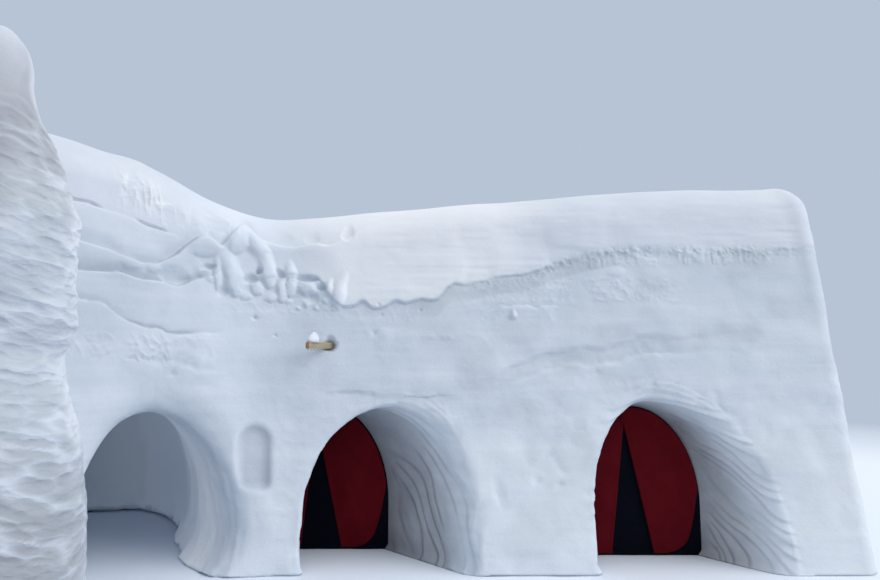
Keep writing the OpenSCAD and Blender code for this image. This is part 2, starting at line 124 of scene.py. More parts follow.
# Pier: its place on the foot line, its form, and half its thickness by height
PIER_RUN = 2.22
PIER_L = 1.54
PIER_TURN = 60.0
PIER_H = 3.95
PIER_JOINT_H = 2.7
PIER_BLEND_R = 0.12
PIER_RUNS_IN = 1.2
PIER_STEEPNESS = 0.8  # brings its shape function closer to a distance where the wall narrows
PIER_HALF_T_AT = [(0.0, 0.54), (0.5, 0.53), (0.98, 0.515), (1.19, 0.5), (1.42, 0.485),
                  (1.89, 0.43), (2.18, 0.42), (2.38, 0.462), (2.8, 0.475), (3.0, 0.42),
                  (3.15, 0.37), (3.31, 0.3), (3.52, 0.23), (3.67, 0.205), (3.83, 0.145),
                  (3.91, 0.075), (PIER_H, 0.0)]

# How dark its snow is by height, partly a greyer icy tone and partly painted shade, the bearing
# of its side that is painted lighter as if lit, and how far that side stands out from the even
# shape by height
PIER_GLAZE_AND_SHADE_AT = ([0.0, 1.0, 1.8, 2.6, 3.3, 3.6, 3.9], [0.62, 0.64, 0.34, 0.32, 0.72, 0.4, 0.1])
PIER_BRIGHT_TURN = 32.0
PIER_PROUD_AT = [(0.0, 0.05), (0.95, 0.06), (1.15, 0.066), (1.4, 0.057), (1.65, 0.053),
                 (1.8, 0.028), (1.95, 0.01), (2.06, 0.012), (2.14, 0.044), (2.25, 0.038),
                 (2.36, -0.005), (2.5, -0.032), (2.62, -0.048), (2.8, -0.04), (2.94, -0.05),
                 (3.2, -0.048), (3.5, -0.055), (3.7, -0.035), (PIER_H, -0.05)]

# Niche beside the bend
NICHE_TURN = 16.0
NICHE_W = 0.28
NICHE_H = 0.57
NICHE_DEPTH = 0.055
NICHE_EDGE_R = 0.06


def ahead(turn):
    """Step of length 1 on a heading."""
    return np.array([-math.sin(math.radians(turn)), math.cos(math.radians(turn))])


def aside(turn):
    """Step of length 1 to the right of a heading."""
    return np.array([math.cos(math.radians(turn)), math.sin(math.radians(turn))])


def on_wing(run, depth):
    """Point of the wing by its place along the foot line from the bend, and depth behind it."""
    return BEND_CENTRE + (BEND_R + depth) * ahead(WING_TURN) - run * aside(WING_TURN)


def heading(start, end):
    """Heading from one point to another, in degrees."""
    return math.degrees(math.atan2(start[0] - end[0], end[1] - start[1]))


def ahead_aside(x, y, origin, turn):
    """How far points are ahead of an origin on a heading, and how far to its right."""
    ux, uy = x - origin[0], y - origin[1]
    front, side = ahead(turn), aside(turn)
    return ux * front[0] + uy * front[1], ux * side[0] + uy * side[1]


WING_MOUTH_RUN = 0.13
WING_TUNNEL_L = 1.1
EAST_ROOM = EAST_DOOR + ROOM_WAY * ahead(EAST_WAY)
MIDDLE_ROOM = MIDDLE_DOOR + ROOM_WAY * ahead(MIDDLE_WAY)
WING_MOUTH = on_wing(WING_MOUTH_RUN, 0.0)
WING_THROAT = WING_MOUTH + WING_TUNNEL_L * ahead(WING_WAY)
WING_ROOM = WING_THROAT + ROOM_WAY * ahead(WING_WAY)
PIER_NOSE = on_wing(PIER_RUN, 0.0) - PIER_L * ahead(PIER_TURN)

# Mouths of the tunnels: foot of the line down from the top, widths to its left and right,
# heights at which the two sides begin to curve, and height
EAST_MOUTH = dict(foot=np.array([EAST_DOOR[0] + 0.19, FRONT_Y]), w=(0.65, 1.09),
                  spring=(0.5, 0.04), h=1.61)
MIDDLE_MOUTH = dict(foot=np.array([MIDDLE_DOOR[0] + 0.84, FRONT_Y]), w=(0.87, 0.72),
                    spring=(0.5, 0.4), h=1.5)
WING_MOUTH_ARCH = dict(foot=WING_MOUTH, w=(0.64, 0.69), spring=(0.42, 0.38), h=1.5)
FLARE_POWER = 0.8
SHIFTED_IN_FRONT = 0.3
LIP_R = 0.08
WING_LIP_R = 0.22
HOLLOW_REACH = 0.12

# Round feet of the walls inside: radius, and how deep below the floor its lowest point is
DOOR_FOOT = (0.15, 0.03)
WING_FOOT = (0.5, 0.06)

# Spans over which the wing's tunnel runs into its way, and that into its room
WAY_BLEND = 0.15
WING_BLEND = 1.2

# Ends of the mass on the foot line, from the snow beside the outer mouths
RIGHT_OF_MOUTH = 0.87
LEFT_OF_MOUTH = 1.0
END_WALL_T = 0.7
WING_END_WALL_T = 1.7
EAST_S = EAST_MOUTH["foot"][0] + EAST_MOUTH["w"][1] + RIGHT_OF_MOUTH - BEND_X
END_WALL_S = EAST_S - END_WALL_T
WING_BAY_L = WING_MOUTH_RUN + WING_MOUTH_ARCH["w"][0] + LEFT_OF_MOUTH
WING_S = -BEND_L - WING_BAY_L - WING_END_WALL_T
MASS_DEPTH = BACK_WALL_T + ROOM_R + max(
    EAST_ROOM[1] - FRONT_Y,
    np.linalg.norm(MIDDLE_ROOM - BEND_CENTRE) - BEND_R,
    (WING_ROOM - BEND_CENTRE) @ ahead(WING_TURN) - BEND_R)

# Heights of the roof and of the layer joints above the rooms' ceiling, by place on the foot line
COURSE_TOP = 0.76
CEILING = 1.72
ROOF_AT = [(WING_S, 2.38), (-2.4, 2.39), (-1.44, 2.37), (-0.94, 2.26), (-0.63, 2.02),
           (-0.31, 1.84), (0.0, 1.855), (0.9, 1.895), (2.0, 1.98), (3.0, 2.08), (4.2, 2.145),
           (EAST_S, 2.17)]
WALL_TOP_AT = [(WING_S, 0.8), (-2.2, 0.76), (-1.35, 0.676), (-0.942, 0.53), (-0.6, 0.505),
               (0.3, 0.28), (1.91, 0.14), (2.63, 0.325), (3.23, 0.417), (4.37, 0.57),
               (EAST_S, 0.61)]
CAP_FOOT_AT = [(WING_S, 1.68), (-1.44, 1.6), (-0.8, 1.43), (-0.3, 1.03), (0.3, 0.73),
               (0.96, 0.85), (1.4, 0.9), (2.63, 1.26), (3.27, 1.41), (EAST_S, 1.41)]

# How far the drifted snow of the roof's front edge stands above the even roof
ROOF_PROUD_AT = [(WING_S, 0.0), (-2.4, 0.0), (-1.7, -0.02), (-1.3, -0.04), (-0.9, -0.015),
                 (0.0, -0.025), (0.5, 0.01), (1.3, 0.035), (2.1, 0.035), (2.6, 0.02), (4.0, 0.02),
                 (EAST_S, 0.025)]

# Cells of the snow's surface, in blocks; the cells of each level are twice as large as before
FINEST_CELL = 0.0125
COARSER = 0
CELL = FINEST_CELL * 2 ** COARSER
BLOCK = 16
LEVELS = 5
MARGIN = 3
BELOW_FLOOR = 2.5
STEEPEST = 1.25  # the most that the body's function changes over a length of 1
POINTS_AT_ONCE = 2000000
FLOOR_SNAP = 0.008
BOX_GAP = 0.001
CUT_SNAP = 0.0005

# Where the cells are fine: near the front, finest over its layers between two lines by place on
# the foot line, in the mouths of the doors' tunnels, and on the side of the pier that shows
FRONT_DEPTH = 1.0
LAYERS_FROM = ([-2.0, -1.0, 0.6, 1.6, 5.3], [2.0, 2.05, 2.3, 2.35, 2.75])
LAYERS_TO = ([-2.0, -1.0, -0.2, 0.6, 1.6, 5.3], [3.6, 3.9, 3.6, 3.5, 3.05, 3.35])
LAYERS_S = -1.9
LAYERS_REACH = 0.2
MOUTH_REACH = 0.15
MOUTH_DEPTH = 0.95
MOUTH_LEFT = 0.45
PIER_SEEN_X = PIER_NOSE[0] - 0.15

# Where they are coarse: round the hidden rooms, and behind the pier
ROOM_REACH = 0.35
ROOM_DEPTH = 1.9
ROOM_S = -1.2
HIDDEN_S = WING_S + 0.3
SEEN_S = WING_S + 0.9

# Turn of the noise, so that its lattice lies along no face
TURNED = np.array([[0.80, -0.36, 0.48], [0.60, 0.48, -0.64], [0.0, 0.80, 0.60]])


def smooth_line(at, points):
    """Height of a smooth curve through points, with slopes from each point's neighbours."""
    x, y = (np.array(v, float) for v in zip(*points))
    slope = np.gradient(y, x)
    at = np.clip(at, x[0], x[-1])
    i = np.clip(np.searchsorted(x, at) - 1, 0, len(x) - 2)
    gap = x[i + 1] - x[i]
    t = (at - x[i]) / gap
    return ((1 + 2 * t) * (1 - t) ** 2 * y[i] + t * (1 - t) ** 2 * gap * slope[i]
            + t * t * (3 - 2 * t) * y[i + 1] - t * t * (1 - t) * gap * slope[i + 1])


def step(low, high, v):
    """Rises softly from 0 at the first value to 1 at the second, which may be the lower one."""
    t = np.clip((v - low) / (high - low), 0, 1)
    return t * t * (3 - 2 * t)


def window(v, low, high, soft):
    """1 between two values, and runs out softly beyond them."""
    return step(low - soft, low, v) * (1 - step(high, high + soft, v))


def run_coords(x, y):
    """Place along the foot line from the start of the bend, and depth behind it."""
    ux, uy = x - BEND_CENTRE[0], y - BEND_CENTRE[1]
    out, along = ahead_aside(x, y, BEND_CENTRE, WING_TURN)
    wing = (ux < 0) & (along < 0)
    bend = (ux < 0) & ~wing
    s = np.where(wing, along - BEND_L, ux)
    d = np.where(wing, out - BEND_R, y - FRONT_Y)
    s = np.where(bend, -BEND_R * np.arctan2(-ux, np.maximum(uy, 1e-6)), s)
    d = np.where(bend, np.hypot(ux, uy) - BEND_R, d)
    return s, d


def round_max(a, b, r):
    """The larger of two distances, with a round edge of radius r between them."""
    return (np.minimum(np.maximum(a, b) + r, 0)
            + np.hypot(np.maximum(a + r, 0), np.maximum(b + r, 0)) - r)


def soft_min(a, b, k):
    """The smaller of two distances, blended over a span of about k where they are alike."""
    t = np.maximum(k - np.abs(a - b), 0) / k
    return np.minimum(a, b) - t * t * k / 4


def arch_section(a, z, w_left, w_right, h, spring_left, spring_right):
    """About the distance out of an arch whose sides are quarter ellipses above their springs."""
    w = np.where(a < 0, w_left, w_right)
    spring = np.where(a < 0, spring_left, spring_right)
    rise = h - spring
    e = np.hypot(a / w, np.maximum(z - spring, 0) / rise)
    return (e - 1) * np.minimum(w, rise)


def on_foot(section, z, foot):
    """A hollow's section with a round foot where it meets the floor."""
    radius, sink = foot
    return round_max(section, -z - sink, radius)


def tunnel(x, y, z, mouth, turn, end, foot):
    """Flared way from a mouth in the face to the door opening or throat at its end."""
    along, across = ahead_aside(x, y, mouth["foot"], turn)
    reach, shift = ahead_aside(*end, mouth["foot"], turn)
    t = (along - FRONT_BATTER * z) / (reach - FRONT_BATTER * z)
    u = np.clip(t, 0, 1) ** FLARE_POWER
    a = across - shift * np.clip(t, -SHIFTED_IN_FRONT, 1)
    w_left, w_right, h, *springs = (
        first + (last - first) * u
        for first, last in zip((*mouth["w"], mouth["h"], *mouth["spring"]),
                               (DOOR_HALF_W, DOOR_HALF_W, DOOR_H, ARCH_SPRING, ARCH_SPRING)))
    section = arch_section(a, z, w_left, w_right, h, *springs)
    return np.maximum(on_foot(section, z, foot), along - reach)


def passage(x, y, z, start, end, half_w, h, foot):
    """Straight way of one section from a door or throat to the middle of its room."""
    along, across = ahead_aside(x, y, start, heading(start, end))
    section = arch_section(across, z, half_w, half_w, h, ARCH_SPRING, ARCH_SPRING)
    return np.maximum(on_foot(section, z, foot),
                      np.maximum(-along - REVEAL, along - np.linalg.norm(end - start)))


def room(x, y, z, centre, foot):
    """Half an egg on a round wall."""
    flat = np.hypot(x - centre[0], y - centre[1]) / ROOM_R
    up = np.maximum(z - ROOM_SPRING, 0) / (ROOM_H - ROOM_SPRING)
    return on_foot((np.hypot(flat, up) - 1) * ROOM_R, z, foot)


def door_hollows(x, y, z):
    """The tunnels, ways and rooms behind the two doors."""
    found = []
    for mouth, door, centre in ((EAST_MOUTH, EAST_DOOR, EAST_ROOM),
                                (MIDDLE_MOUTH, MIDDLE_DOOR, MIDDLE_ROOM)):
        found += [tunnel(x, y, z, mouth, 0, door, DOOR_FOOT),
                  passage(x, y, z, door, centre, DOOR_HALF_W - DOOR_REBATE,
                          DOOR_H - DOOR_REBATE, DOOR_FOOT),
                  room(x, y, z, centre, DOOR_FOOT)]
    return np.minimum.reduce(found)


def wing_hollow(x, y, z):
    """The open tunnel of the wing and its room, run together into one smooth hollow."""
    way = soft_min(tunnel(x, y, z, WING_MOUTH_ARCH, WING_TURN, WING_THROAT, WING_FOOT),
                   passage(x, y, z, WING_THROAT, WING_ROOM, DOOR_HALF_W, DOOR_H, WING_FOOT),
                   WAY_BLEND)
    return soft_min(way, room(x, y, z, WING_ROOM, WING_FOOT), WING_BLEND)


def hollows(x, y, z):
    """All that is hollow: negative inside it."""
    return np.minimum(door_hollows(x, y, z), wing_hollow(x, y, z))


def along_hollow(off):
    """1 on the surface of a hollow, and runs out over a short way from it."""
    return 1 - step(0.0, HOLLOW_REACH, np.abs(off))


def roof_height(s, d):
    """Height of the even roof, which is crowned a little between front and back."""
    middle = MASS_DEPTH / 2
    crown = ROOF_CROWN * (1 - ((d - middle) / middle) ** 2)
    return CEILING + smooth_line(s, ROOF_AT) + np.maximum(crown, 0)


def mass(s, d, z):
    """About the distance out of the mass of snow without its hollows."""
    face = (FRONT_BATTER * z - d) / math.hypot(1, FRONT_BATTER)
    back = (d - MASS_DEPTH + BACK_BATTER * z) / math.hypot(1, BACK_BATTER)
    right = s - EAST_S + RIGHT_BATTER * z
    left = WING_S + WING_END_BATTER * z - s
    walls = round_max(face, back, BACK_R)
    body = round_max(walls, z - roof_height(s, d), CREST_R)
    return round_max(round_max(body, right, RIGHT_END_R), left, END_R)


def niche(x, y, z):
    """A shallow upright niche with a round head, its foot on the first lift."""
    out, across = ahead_aside(x, y, BEND_CENTRE, NICHE_TURN)
    depth = out - BEND_R - FRONT_BATTER * z
    head = COURSE_TOP + NICHE_H - NICHE_W / 2
    rim = np.hypot(across, np.maximum(z - head, 0)) - NICHE_W / 2
    return round_max(round_max(rim, COURSE_TOP - z, NICHE_EDGE_R), depth - NICHE_DEPTH,
                     NICHE_EDGE_R)


def pier(x, y, z):
    """A short wall with a round nose that narrows to a rounded top."""
    along, across = ahead_aside(x, y, PIER_NOSE, PIER_TURN)
    out = np.hypot(np.minimum(along, 0), across)
    wall = (out - smooth_line(z, PIER_HALF_T_AT)) * PIER_STEEPNESS
    top = (z - PIER_H) * PIER_STEEPNESS
    return np.maximum(np.maximum(wall, top), along - PIER_L - PIER_RUNS_IN)


def pier_share(x, y, z, s, d):
    """1 on the pier and 0 on the mass, with a soft change where they meet."""
    return 1 - step(0.0, 0.08, pier(x, y, z) - mass(s, d, z))


def snow(x, y, z):
    """The whole body of snow: negative inside."""
    s, d = run_coords(x, y)
    solid = -round_max(-mass(s, d, z), -pier(x, y, z), PIER_BLEND_R)
    carved = round_max(solid, -door_hollows(x, y, z), LIP_R)
    carved = round_max(carved, -wing_hollow(x, y, z), WING_LIP_R)
    carved = round_max(carved, -niche(x, y, z), NICHE_EDGE_R)
    return np.maximum(carved, -z)


def wanted_level(x, y, z):
    """How often the finest cells double in size: not at all at the layers, mouths and pier."""
    s, d = run_coords(x, y)
    behind = d - FRONT_BATTER * z
    front = (behind < FRONT_DEPTH) & (s > SEEN_S)
    hidden = (hollows(x, y, z) < ROOM_REACH) & (d > ROOM_DEPTH) & (s > ROOM_S)
    level = np.where(front, 1, 2)
    level = np.where(hidden & ~front, 3, level)
    layered = ((np.abs(behind) < LAYERS_REACH) & (s > LAYERS_S)
               & (z > np.interp(s, *LAYERS_FROM)) & (z < np.interp(s, *LAYERS_TO)))
    mouths = ((np.abs(door_hollows(x, y, z)) < MOUTH_REACH)
              & (behind > -MOUTH_REACH) & (behind < MOUTH_DEPTH))
    east, middle = EAST_MOUTH["foot"][0], MIDDLE_MOUTH["foot"][0]
    mouths &= x > np.where(x > (east + middle) / 2, east, middle) - MOUTH_LEFT
    level = np.where(layered | mouths, 0, level)
    near_pier = pier(x, y, z)
    seen = (x > PIER_SEEN_X) & (near_pier < LAYERS_REACH)
    on_pier = np.where(s < HIDDEN_S, 2, np.where(seen, 0, 1))
    return np.maximum(np.where(near_pier < 2 * LAYERS_REACH, on_pier, level) - COARSER, 0)


class Surface:
    """The surface where a function is zero, on blocks of cells of several sizes.

    Each cell that the surface crosses gets one vertex, at the mean of the crossings on the
    edges round it, and each crossed edge gets a face between the cells round it. Edges
    beside a finer cell are left to the finer cells, so sizes join without a gap.
    """

    def __init__(self, low, high):
        side = CELL * BLOCK
        self.low = np.array(low, float) - MARGIN * CELL
        self.low[2] = -BELOW_FLOOR * CELL
        self.count = np.ceil((np.array(high) + MARGIN * CELL - self.low) / side).astype(int)
        index = np.indices(self.count).reshape(3, -1).T
        middle = self.low + (index + 0.5) * side
        value = snow(*middle.T)
        level = wanted_level(*middle.T)
        under = (index[:, 2] == 0) & (snow(*(middle + [0, 0, side]).T) < -side * 1.1)
        level = np.where(under, LEVELS - 1, level)
        self.levels = level.reshape(self.count)
        reach = side * math.sqrt(3) / 2 * STEEPEST
        near = np.abs(value) < reach
        self.index, self.level = index[near], level[near]

    def crossings(self, level):
        """Crossed edges of the cells of one size: axis, lower corner, place and direction."""
        q = 1 << level
        n = BLOCK // q
        blocks = self.index[self.level == level]
        local = np.indices((n + 1,) * 3).reshape(3, -1).T * q
        found = []
        parts = max(1, len(blocks) * (n + 1) ** 3 // POINTS_AT_ONCE)
        for part in np.array_split(blocks, parts):
            corner = part[:, None, :] * BLOCK + local[None]
            p = self.low + corner * CELL
            f = snow(p[..., 0].ravel(), p[..., 1].ravel(), p[..., 2].ravel())
            f = f.reshape((-1,) + (n + 1,) * 3)
            corner = corner.reshape((-1,) + (n + 1,) * 3 + (3,))
            for axis in range(3):
                first = [slice(None)] * 4
                last = [slice(None)] * 4
                first[axis + 1], last[axis + 1] = slice(0, n), slice(1, n + 1)
                a, b = f[tuple(first)], f[tuple(last)]
                hit = (a < 0) != (b < 0)
                a, b = a[hit], b[hit]
                at = corner[tuple(first)][hit]
                place = at.astype(float)
                place[:, axis] += q * a / (a - b)
                found.append((np.full(len(a), axis), at, place, a < 0))
        axis, at, place, outward = (np.concatenate(v) for v in zip(*found))
        key = self.key(at) * 3 + axis
        _, keep = np.unique(key, return_index=True)
        return axis[keep], at[keep], place[keep], outward[keep]

    def key(self, corner):
        """One whole number for each corner of the finest cells."""
        size = self.count * BLOCK + 2
        return (corner[..., 0] * size[1] + corner[..., 1]) * size[2] + corner[..., 2]

    def mesh(self):
        """Vertices, and faces as rows of four; a triangle repeats its last vertex."""
        cells, places, outwards = [], [], []
        for level in range(LEVELS):
            q = 1 << level
            axis, at, place, outward = self.crossings(level)
            b, c = (axis + 1) % 3, (axis + 2) % 3
            rows = np.arange(len(at))
            around = np.repeat(at[:, None, :], 4, axis=1)
            for k, (back_b, back_c) in enumerate(((1, 1), (0, 1), (0, 0), (1, 0))):
                around[rows, k, b] -= q * back_b
                around[rows, k, c] -= q * back_c
            block = np.clip(around // BLOCK, 0, self.count - 1)
            size = self.levels[block[..., 0], block[..., 1], block[..., 2]]
            own = (size >= level).all(axis=1)
            around, size = around[own], size[own]
            leaf = around >> size[..., None] << size[..., None]
            cells.append(self.key(leaf))
            places.append(place[own])
            outwards.append(outward[own])
        cells, places, outwards = (np.concatenate(v) for v in (cells, places, outwards))
        _, ids = np.unique(cells, return_inverse=True)
        ids = ids.reshape(-1, 4)
        count = np.bincount(ids.ravel())
        vertices = np.stack([
            np.bincount(ids.ravel(), np.repeat(places[:, k], 4)) / count for k in range(3)], 1)
        faces = np.where(outwards[:, None], ids, ids[:, ::-1])
        return self.low + vertices * CELL, tidy_faces(faces)


def tidy_faces(faces):
    """Drops faces that fall on a line, and turns those with one repeated corner into triangles."""
    same = faces == np.roll(faces, -1, axis=1)
    repeats = same.sum(axis=1)
    crossed = (faces[:, 0] == faces[:, 2]) | (faces[:, 1] == faces[:, 3])
    whole = faces[(repeats == 0) & ~crossed]
    bent = (repeats == 1) & ~crossed
    start = (np.argmax(same[bent], axis=1) + 2) % 4
    turn = (start[:, None] + np.arange(4)) % 4
    triangles = np.take_along_axis(faces[bent], turn, axis=1)
    return np.concatenate([whole, triangles])


def gradient(x, y, z, reach=0.004):
    """How fast the body's function changes along each axis."""
    return np.stack([
        snow(x + reach, y, z) - snow(x - reach, y, z),
        snow(x, y + reach, z) - snow(x, y - reach, z),
        snow(x, y, z + reach) - snow(x, y, z - reach)], 1) / (2 * reach)


def settle(vertices, furthest=0.01, flattest=0.25):
    """Moves the vertices onto the surface itself, away from its sharp edges."""
    for _ in range(2):
        g = gradient(*vertices.T)
        length = np.maximum((g * g).sum(axis=1), flattest)
        off = np.clip(snow(*vertices.T) / length, -furthest, furthest)
        vertices = vertices - g * off[:, None]
    return vertices


# Relief of the front. Its lines and places are (place along the foot line, height)
CAP_LIP = [(-0.6, 2.72), (-0.3, 2.8), (-0.15, 2.85), (0.05, 2.84), (0.15, 2.8), (0.24, 2.66),
           (0.36, 2.54), (0.51, 2.53), (0.61, 2.58), (0.7, 2.51), (0.8, 2.51), (0.96, 2.58),
           (1.03, 2.56), (1.19, 2.6), (1.4, 2.62), (1.47, 2.71), (1.71, 2.76), (2.03, 2.83),
           (2.34, 2.87), (2.64, 2.99), (2.99, 3.08), (3.31, 3.14), (4.09, 3.14), (5.06, 3.14),
           (5.6, 3.14)]
UPPER_SHELF = [(-4.7, 3.2), (-2.6, 3.1), (-1.9, 3.06), (-1.54, 3.01), (-1.32, 2.93),
               (-1.05, 2.9), (-0.88, 3.01), (-0.8, 3.13), (-0.72, 3.22), (-0.64, 3.21),
               (-0.585, 3.15), (-0.52, 3.28), (-0.43, 3.41), (-0.34, 3.27), (-0.23, 3.2),
               (-0.13, 3.17), (0.07, 3.21), (0.2, 3.19), (0.38, 3.26), (0.6, 3.4)]
LOWER_SHELF = [(-4.7, 2.9), (-2.6, 2.8), (-1.54, 2.77), (-1.37, 2.77), (-1.19, 2.72),
               (-1.01, 2.71), (-0.86, 2.7), (-0.76, 2.77), (-0.64, 2.83), (-0.5, 2.9)]
CRACK = [(-4.7, 2.75), (-1.9, 2.52), (-1.68, 2.5), (-1.54, 2.49), (-1.416, 2.387),
         (-1.332, 2.336), (-1.174, 2.285), (-1.02, 2.271), (-0.974, 2.243), (-0.828, 2.228),
         (-0.62, 2.243), (-0.55, 2.24)]
WING_SEAM = [(-4.7, 3.5), (-1.5, 3.38), (-1.18, 3.3), (-0.94, 3.23), (-0.78, 3.18)]
UNDER_CAP_SEAM = [(0.4, 2.24), (0.79, 2.28), (1.19, 2.36), (1.61, 2.44), (1.92, 2.48),
                  (2.08, 2.53), (2.34, 2.53), (2.59, 2.51), (2.82, 2.48), (3.06, 2.54),
                  (3.2, 2.62), (3.38, 2.67), (3.55, 2.59), (3.79, 2.61), (4.12, 2.7), (4.7, 2.78)]
MIDDLE_SEAM = [(1.8, 1.78), (2.01, 1.83), (2.07, 1.88), (2.21, 1.94), (2.42, 2.02), (2.58, 2.06),
               (2.83, 2.09), (3.03, 2.08), (3.24, 2.13), (3.44, 2.2), (3.65, 2.2), (4.2, 2.22)]
CURTAIN = [(-1.6, 3.68), (-1.2, 3.62), (-1.0, 3.52), (-0.8, 3.4), (-0.6, 3.34), (-0.3, 3.3)]
HOOD = [(0.1, 1.55), (0.26, 1.63), (0.45, 1.67), (0.85, 1.62), (1.2, 1.61), (1.5, 1.63)]

# Place of the batten in the front, and of the hollow that has melted round it
BATTEN_S = 0.25
BATTEN_Z = CEILING + 0.4
MELTED_S = BATTEN_S + 0.03

# Rows of place, height, half width, half height, lean in degrees, rise or depth, and how round
# the edge is
BATTEN_HOLLOW = (MELTED_S, BATTEN_Z + 0.005, 0.075, 0.062, 0, 0.08, 0.8)
LOBES = [
    (-0.70, 3.12, 0.12, 0.12, 0, 0.035, 0.5), (-0.475, 3.17, 0.085, 0.12, -15, 0.05, 0.5),
    (-0.34, 3.14, 0.07, 0.15, 25, 0.035, 0.7), (-0.505, 2.80, 0.068, 0.19, 6, 0.07, 0.5),
    (-0.61, 2.80, 0.035, 0.13, 0, 0.035, 0.5), (-0.68, 2.83, 0.05, 0.10, 25, 0.02, 0.6),
    (-0.275, 2.88, 0.06, 0.19, 6, 0.055, 0.5), (-0.35, 2.70, 0.05, 0.07, 0, 0.035, 0.5),
    (-0.115, 2.86, 0.045, 0.10, 0, 0.04, 0.5), (-0.165, 2.67, 0.05, 0.12, 0, 0.045, 0.5),
    (-0.10, 2.72, 0.045, 0.12, -4, 0.045, 0.5), (0.03, 2.70, 0.095, 0.07, 5, 0.05, 0.5),
    (0.26, 2.70, 0.05, 0.07, 0, 0.035, 0.5), (0.36, 2.64, 0.08, 0.15, -10, 0.045, 0.6),
    (-0.42, 2.62, 0.06, 0.04, 0, 0.025, 0.6), (-0.24, 2.60, 0.06, 0.04, 10, 0.03, 0.5),
    (2.16, 2.43, 0.04, 0.045, 0, 0.045, 0.5), (3.25, 2.88, 0.10, 0.05, 0, 0.014, 1),
    (-1.28, 2.86, 0.10, 0.06, -15, 0.02, 0.7), (-1.08, 2.83, 0.08, 0.05, 0, 0.018, 0.7),
    (4.75, 0.95, 0.40, 0.30, 0, 0.05, 1.6)]
DENTS = [
    (-0.39, 2.80, 0.055, 0.05, 0, 0.06, 0.5), (-0.335, 2.89, 0.025, 0.025, 0, 0.06, 0.5),
    (-0.185, 2.86, 0.03, 0.045, 25, 0.06, 0.5), (0.03, 2.815, 0.11, 0.035, 0, 0.05, 0.6),
    (0.175, 2.715, 0.055, 0.035, 0, 0.06, 0.6), (-0.60, 3.30, 0.12, 0.16, 20, 0.045, 1.5),
    (0.41, 3.31, 0.075, 0.09, 0, 0.022, 0.8), (-0.92, 2.79, 0.15, 0.07, -8, 0.04, 1),
    (-0.665, 2.90, 0.06, 0.028, 20, 0.045, 0.7), (0.04, 3.26, 0.09, 0.07, 0, 0.012, 1),
    (-0.575, 2.66, 0.035, 0.04, 0, 0.03, 0.8), (0.07, 2.60, 0.08, 0.05, 0, 0.025, 0.8),
    (-0.20, 3.26, 0.10, 0.08, 0, 0.014, 1), (1.97, 0.74, 0.07, 0.10, 20, 0.014, 1),
    (2.33, 0.83, 0.06, 0.04, 30, 0.02, 1), (2.55, 0.79, 0.06, 0.03, 30, 0.018, 1),
    (3.60, 3.08, 0.14, 0.05, 0, 0.02, 1)]
LUMPS = [
    (1.14, 2.21, 0.02, 0.01, 5, 0.012, 0.6), (1.32, 2.19, 0.05, 0.012, 8, 0.014, 0.6),
    (1.43, 2.205, 0.02, 0.016, 0, 0.018, 0.6), (1.50, 2.21, 0.035, 0.012, -10, 0.014, 0.6),
    (0.02, 2.54, 0.03, 0.03, 0, 0.02, 0.5), (0.12, 2.51, 0.022, 0.02, 0, 0.018, 0.5),
    (-0.12, 2.56, 0.03, 0.022, 20, 0.018, 0.5), (0.21, 2.58, 0.035, 0.025, -20, 0.02, 0.5),
    (0.30, 2.50, 0.02, 0.016, 0, 0.014, 0.5), (-0.05, 2.50, 0.02, 0.015, 0, 0.014, 0.5)]
MOUND_SCALE = 0.85
LOBE_DRAPED = 0.85

# Rows of place, height and radius
PIT_DEPTH = 1.2
PITS = [(0.73, 2.26, 0.016), (1.20, 2.49, 0.014), (0.77, 2.54, 0.014), (0.80, 2.44, 0.012),
        (2.98, 1.86, 0.013), (-0.93, 1.85, 0.02), (-0.35, 2.40, 0.02), (-0.20, 2.22, 0.012)]
# Rows of two ends on the foot line, two heights, size of the crumbs and how far they stand out
CRUMBLY = [(-0.45, 0.3, 2.46, 2.62, 0.06, 0.012), (-1.25, -0.7, 1.95, 2.18, 0.07, 0.02),
           (-1.85, -1.5, 2.05, 2.2, 0.08, 0.014), (3.3, 3.65, 3.0, 3.12, 0.07, 0.014),
           (3.0, 3.8, 2.58, 2.78, 0.1, 0.016), (1.9, 2.7, 2.6, 2.8, 0.05, 0.012)]
RUBBLE_FOOT = [(-1.4, 2.02), (-1.21, 1.983), (-0.986, 1.953), (-0.694, 1.864), (-0.4, 1.84)]

# Shelves that the layers make. Rows of line, 1 if the shelf is below it and -1 if it is above,
# share of the fine waver that it takes, window on the foot line, and the lengths for shelf()
LEFT_END = -9.0
SHELVES = [
    (UPPER_SHELF, 1, 0.5, (LEFT_END, 0.2, 0.4), (0.05, 0.035, 0.32, 0.035, 0.09)),
    (LOWER_SHELF, 1, 0.5, (LEFT_END, -0.75, 0.2), (0.04, 0.025, 0.4, 0.04, 0.06)),
    (CRACK, 1, 0.7, (LEFT_END, -0.85, 0.35), (0.03, 0.02, 0.5, 0.016, 0.045)),
    (WING_SEAM, 1, 0.5, (LEFT_END, -0.95, 0.2), (0.006, 0.05, 0.2, 0.003, 0.03)),
    (UNDER_CAP_SEAM, 1, 1.5, (0.8, 4.4, 0.3), (0.011, 0.05, 0.25, 0.005, 0.03)),
    (RUBBLE_FOOT, 1, 1.5, (-1.25, -0.65, 0.15), (0.008, 0.02, 0.15, 0.008, 0.03)),
    (HOOD, -1, 0.5, (0.4, 1.4, 0.25), (0.014, 0.12, 0.4, 0.01, 0.14))]

# Joints that stand open. Rows of line, share of the waver, window on the foot line, how far the
# gap is above the line, its half width and its depth
OPEN_JOINTS = [(CRACK, 0.7, (-1.25, -0.85, 0.15), 0.01, 0.012, 0.018),
               (WING_SEAM, 0.5, (-2.1, -1.58, 0.1), 0.0, 0.011, 0.028),
               (WING_SEAM, 0.5, (-1.16, -0.98, 0.08), 0.0, 0.011, 0.028)]
SEAM_STRETCH = (2.05, 4.0, 0.25)


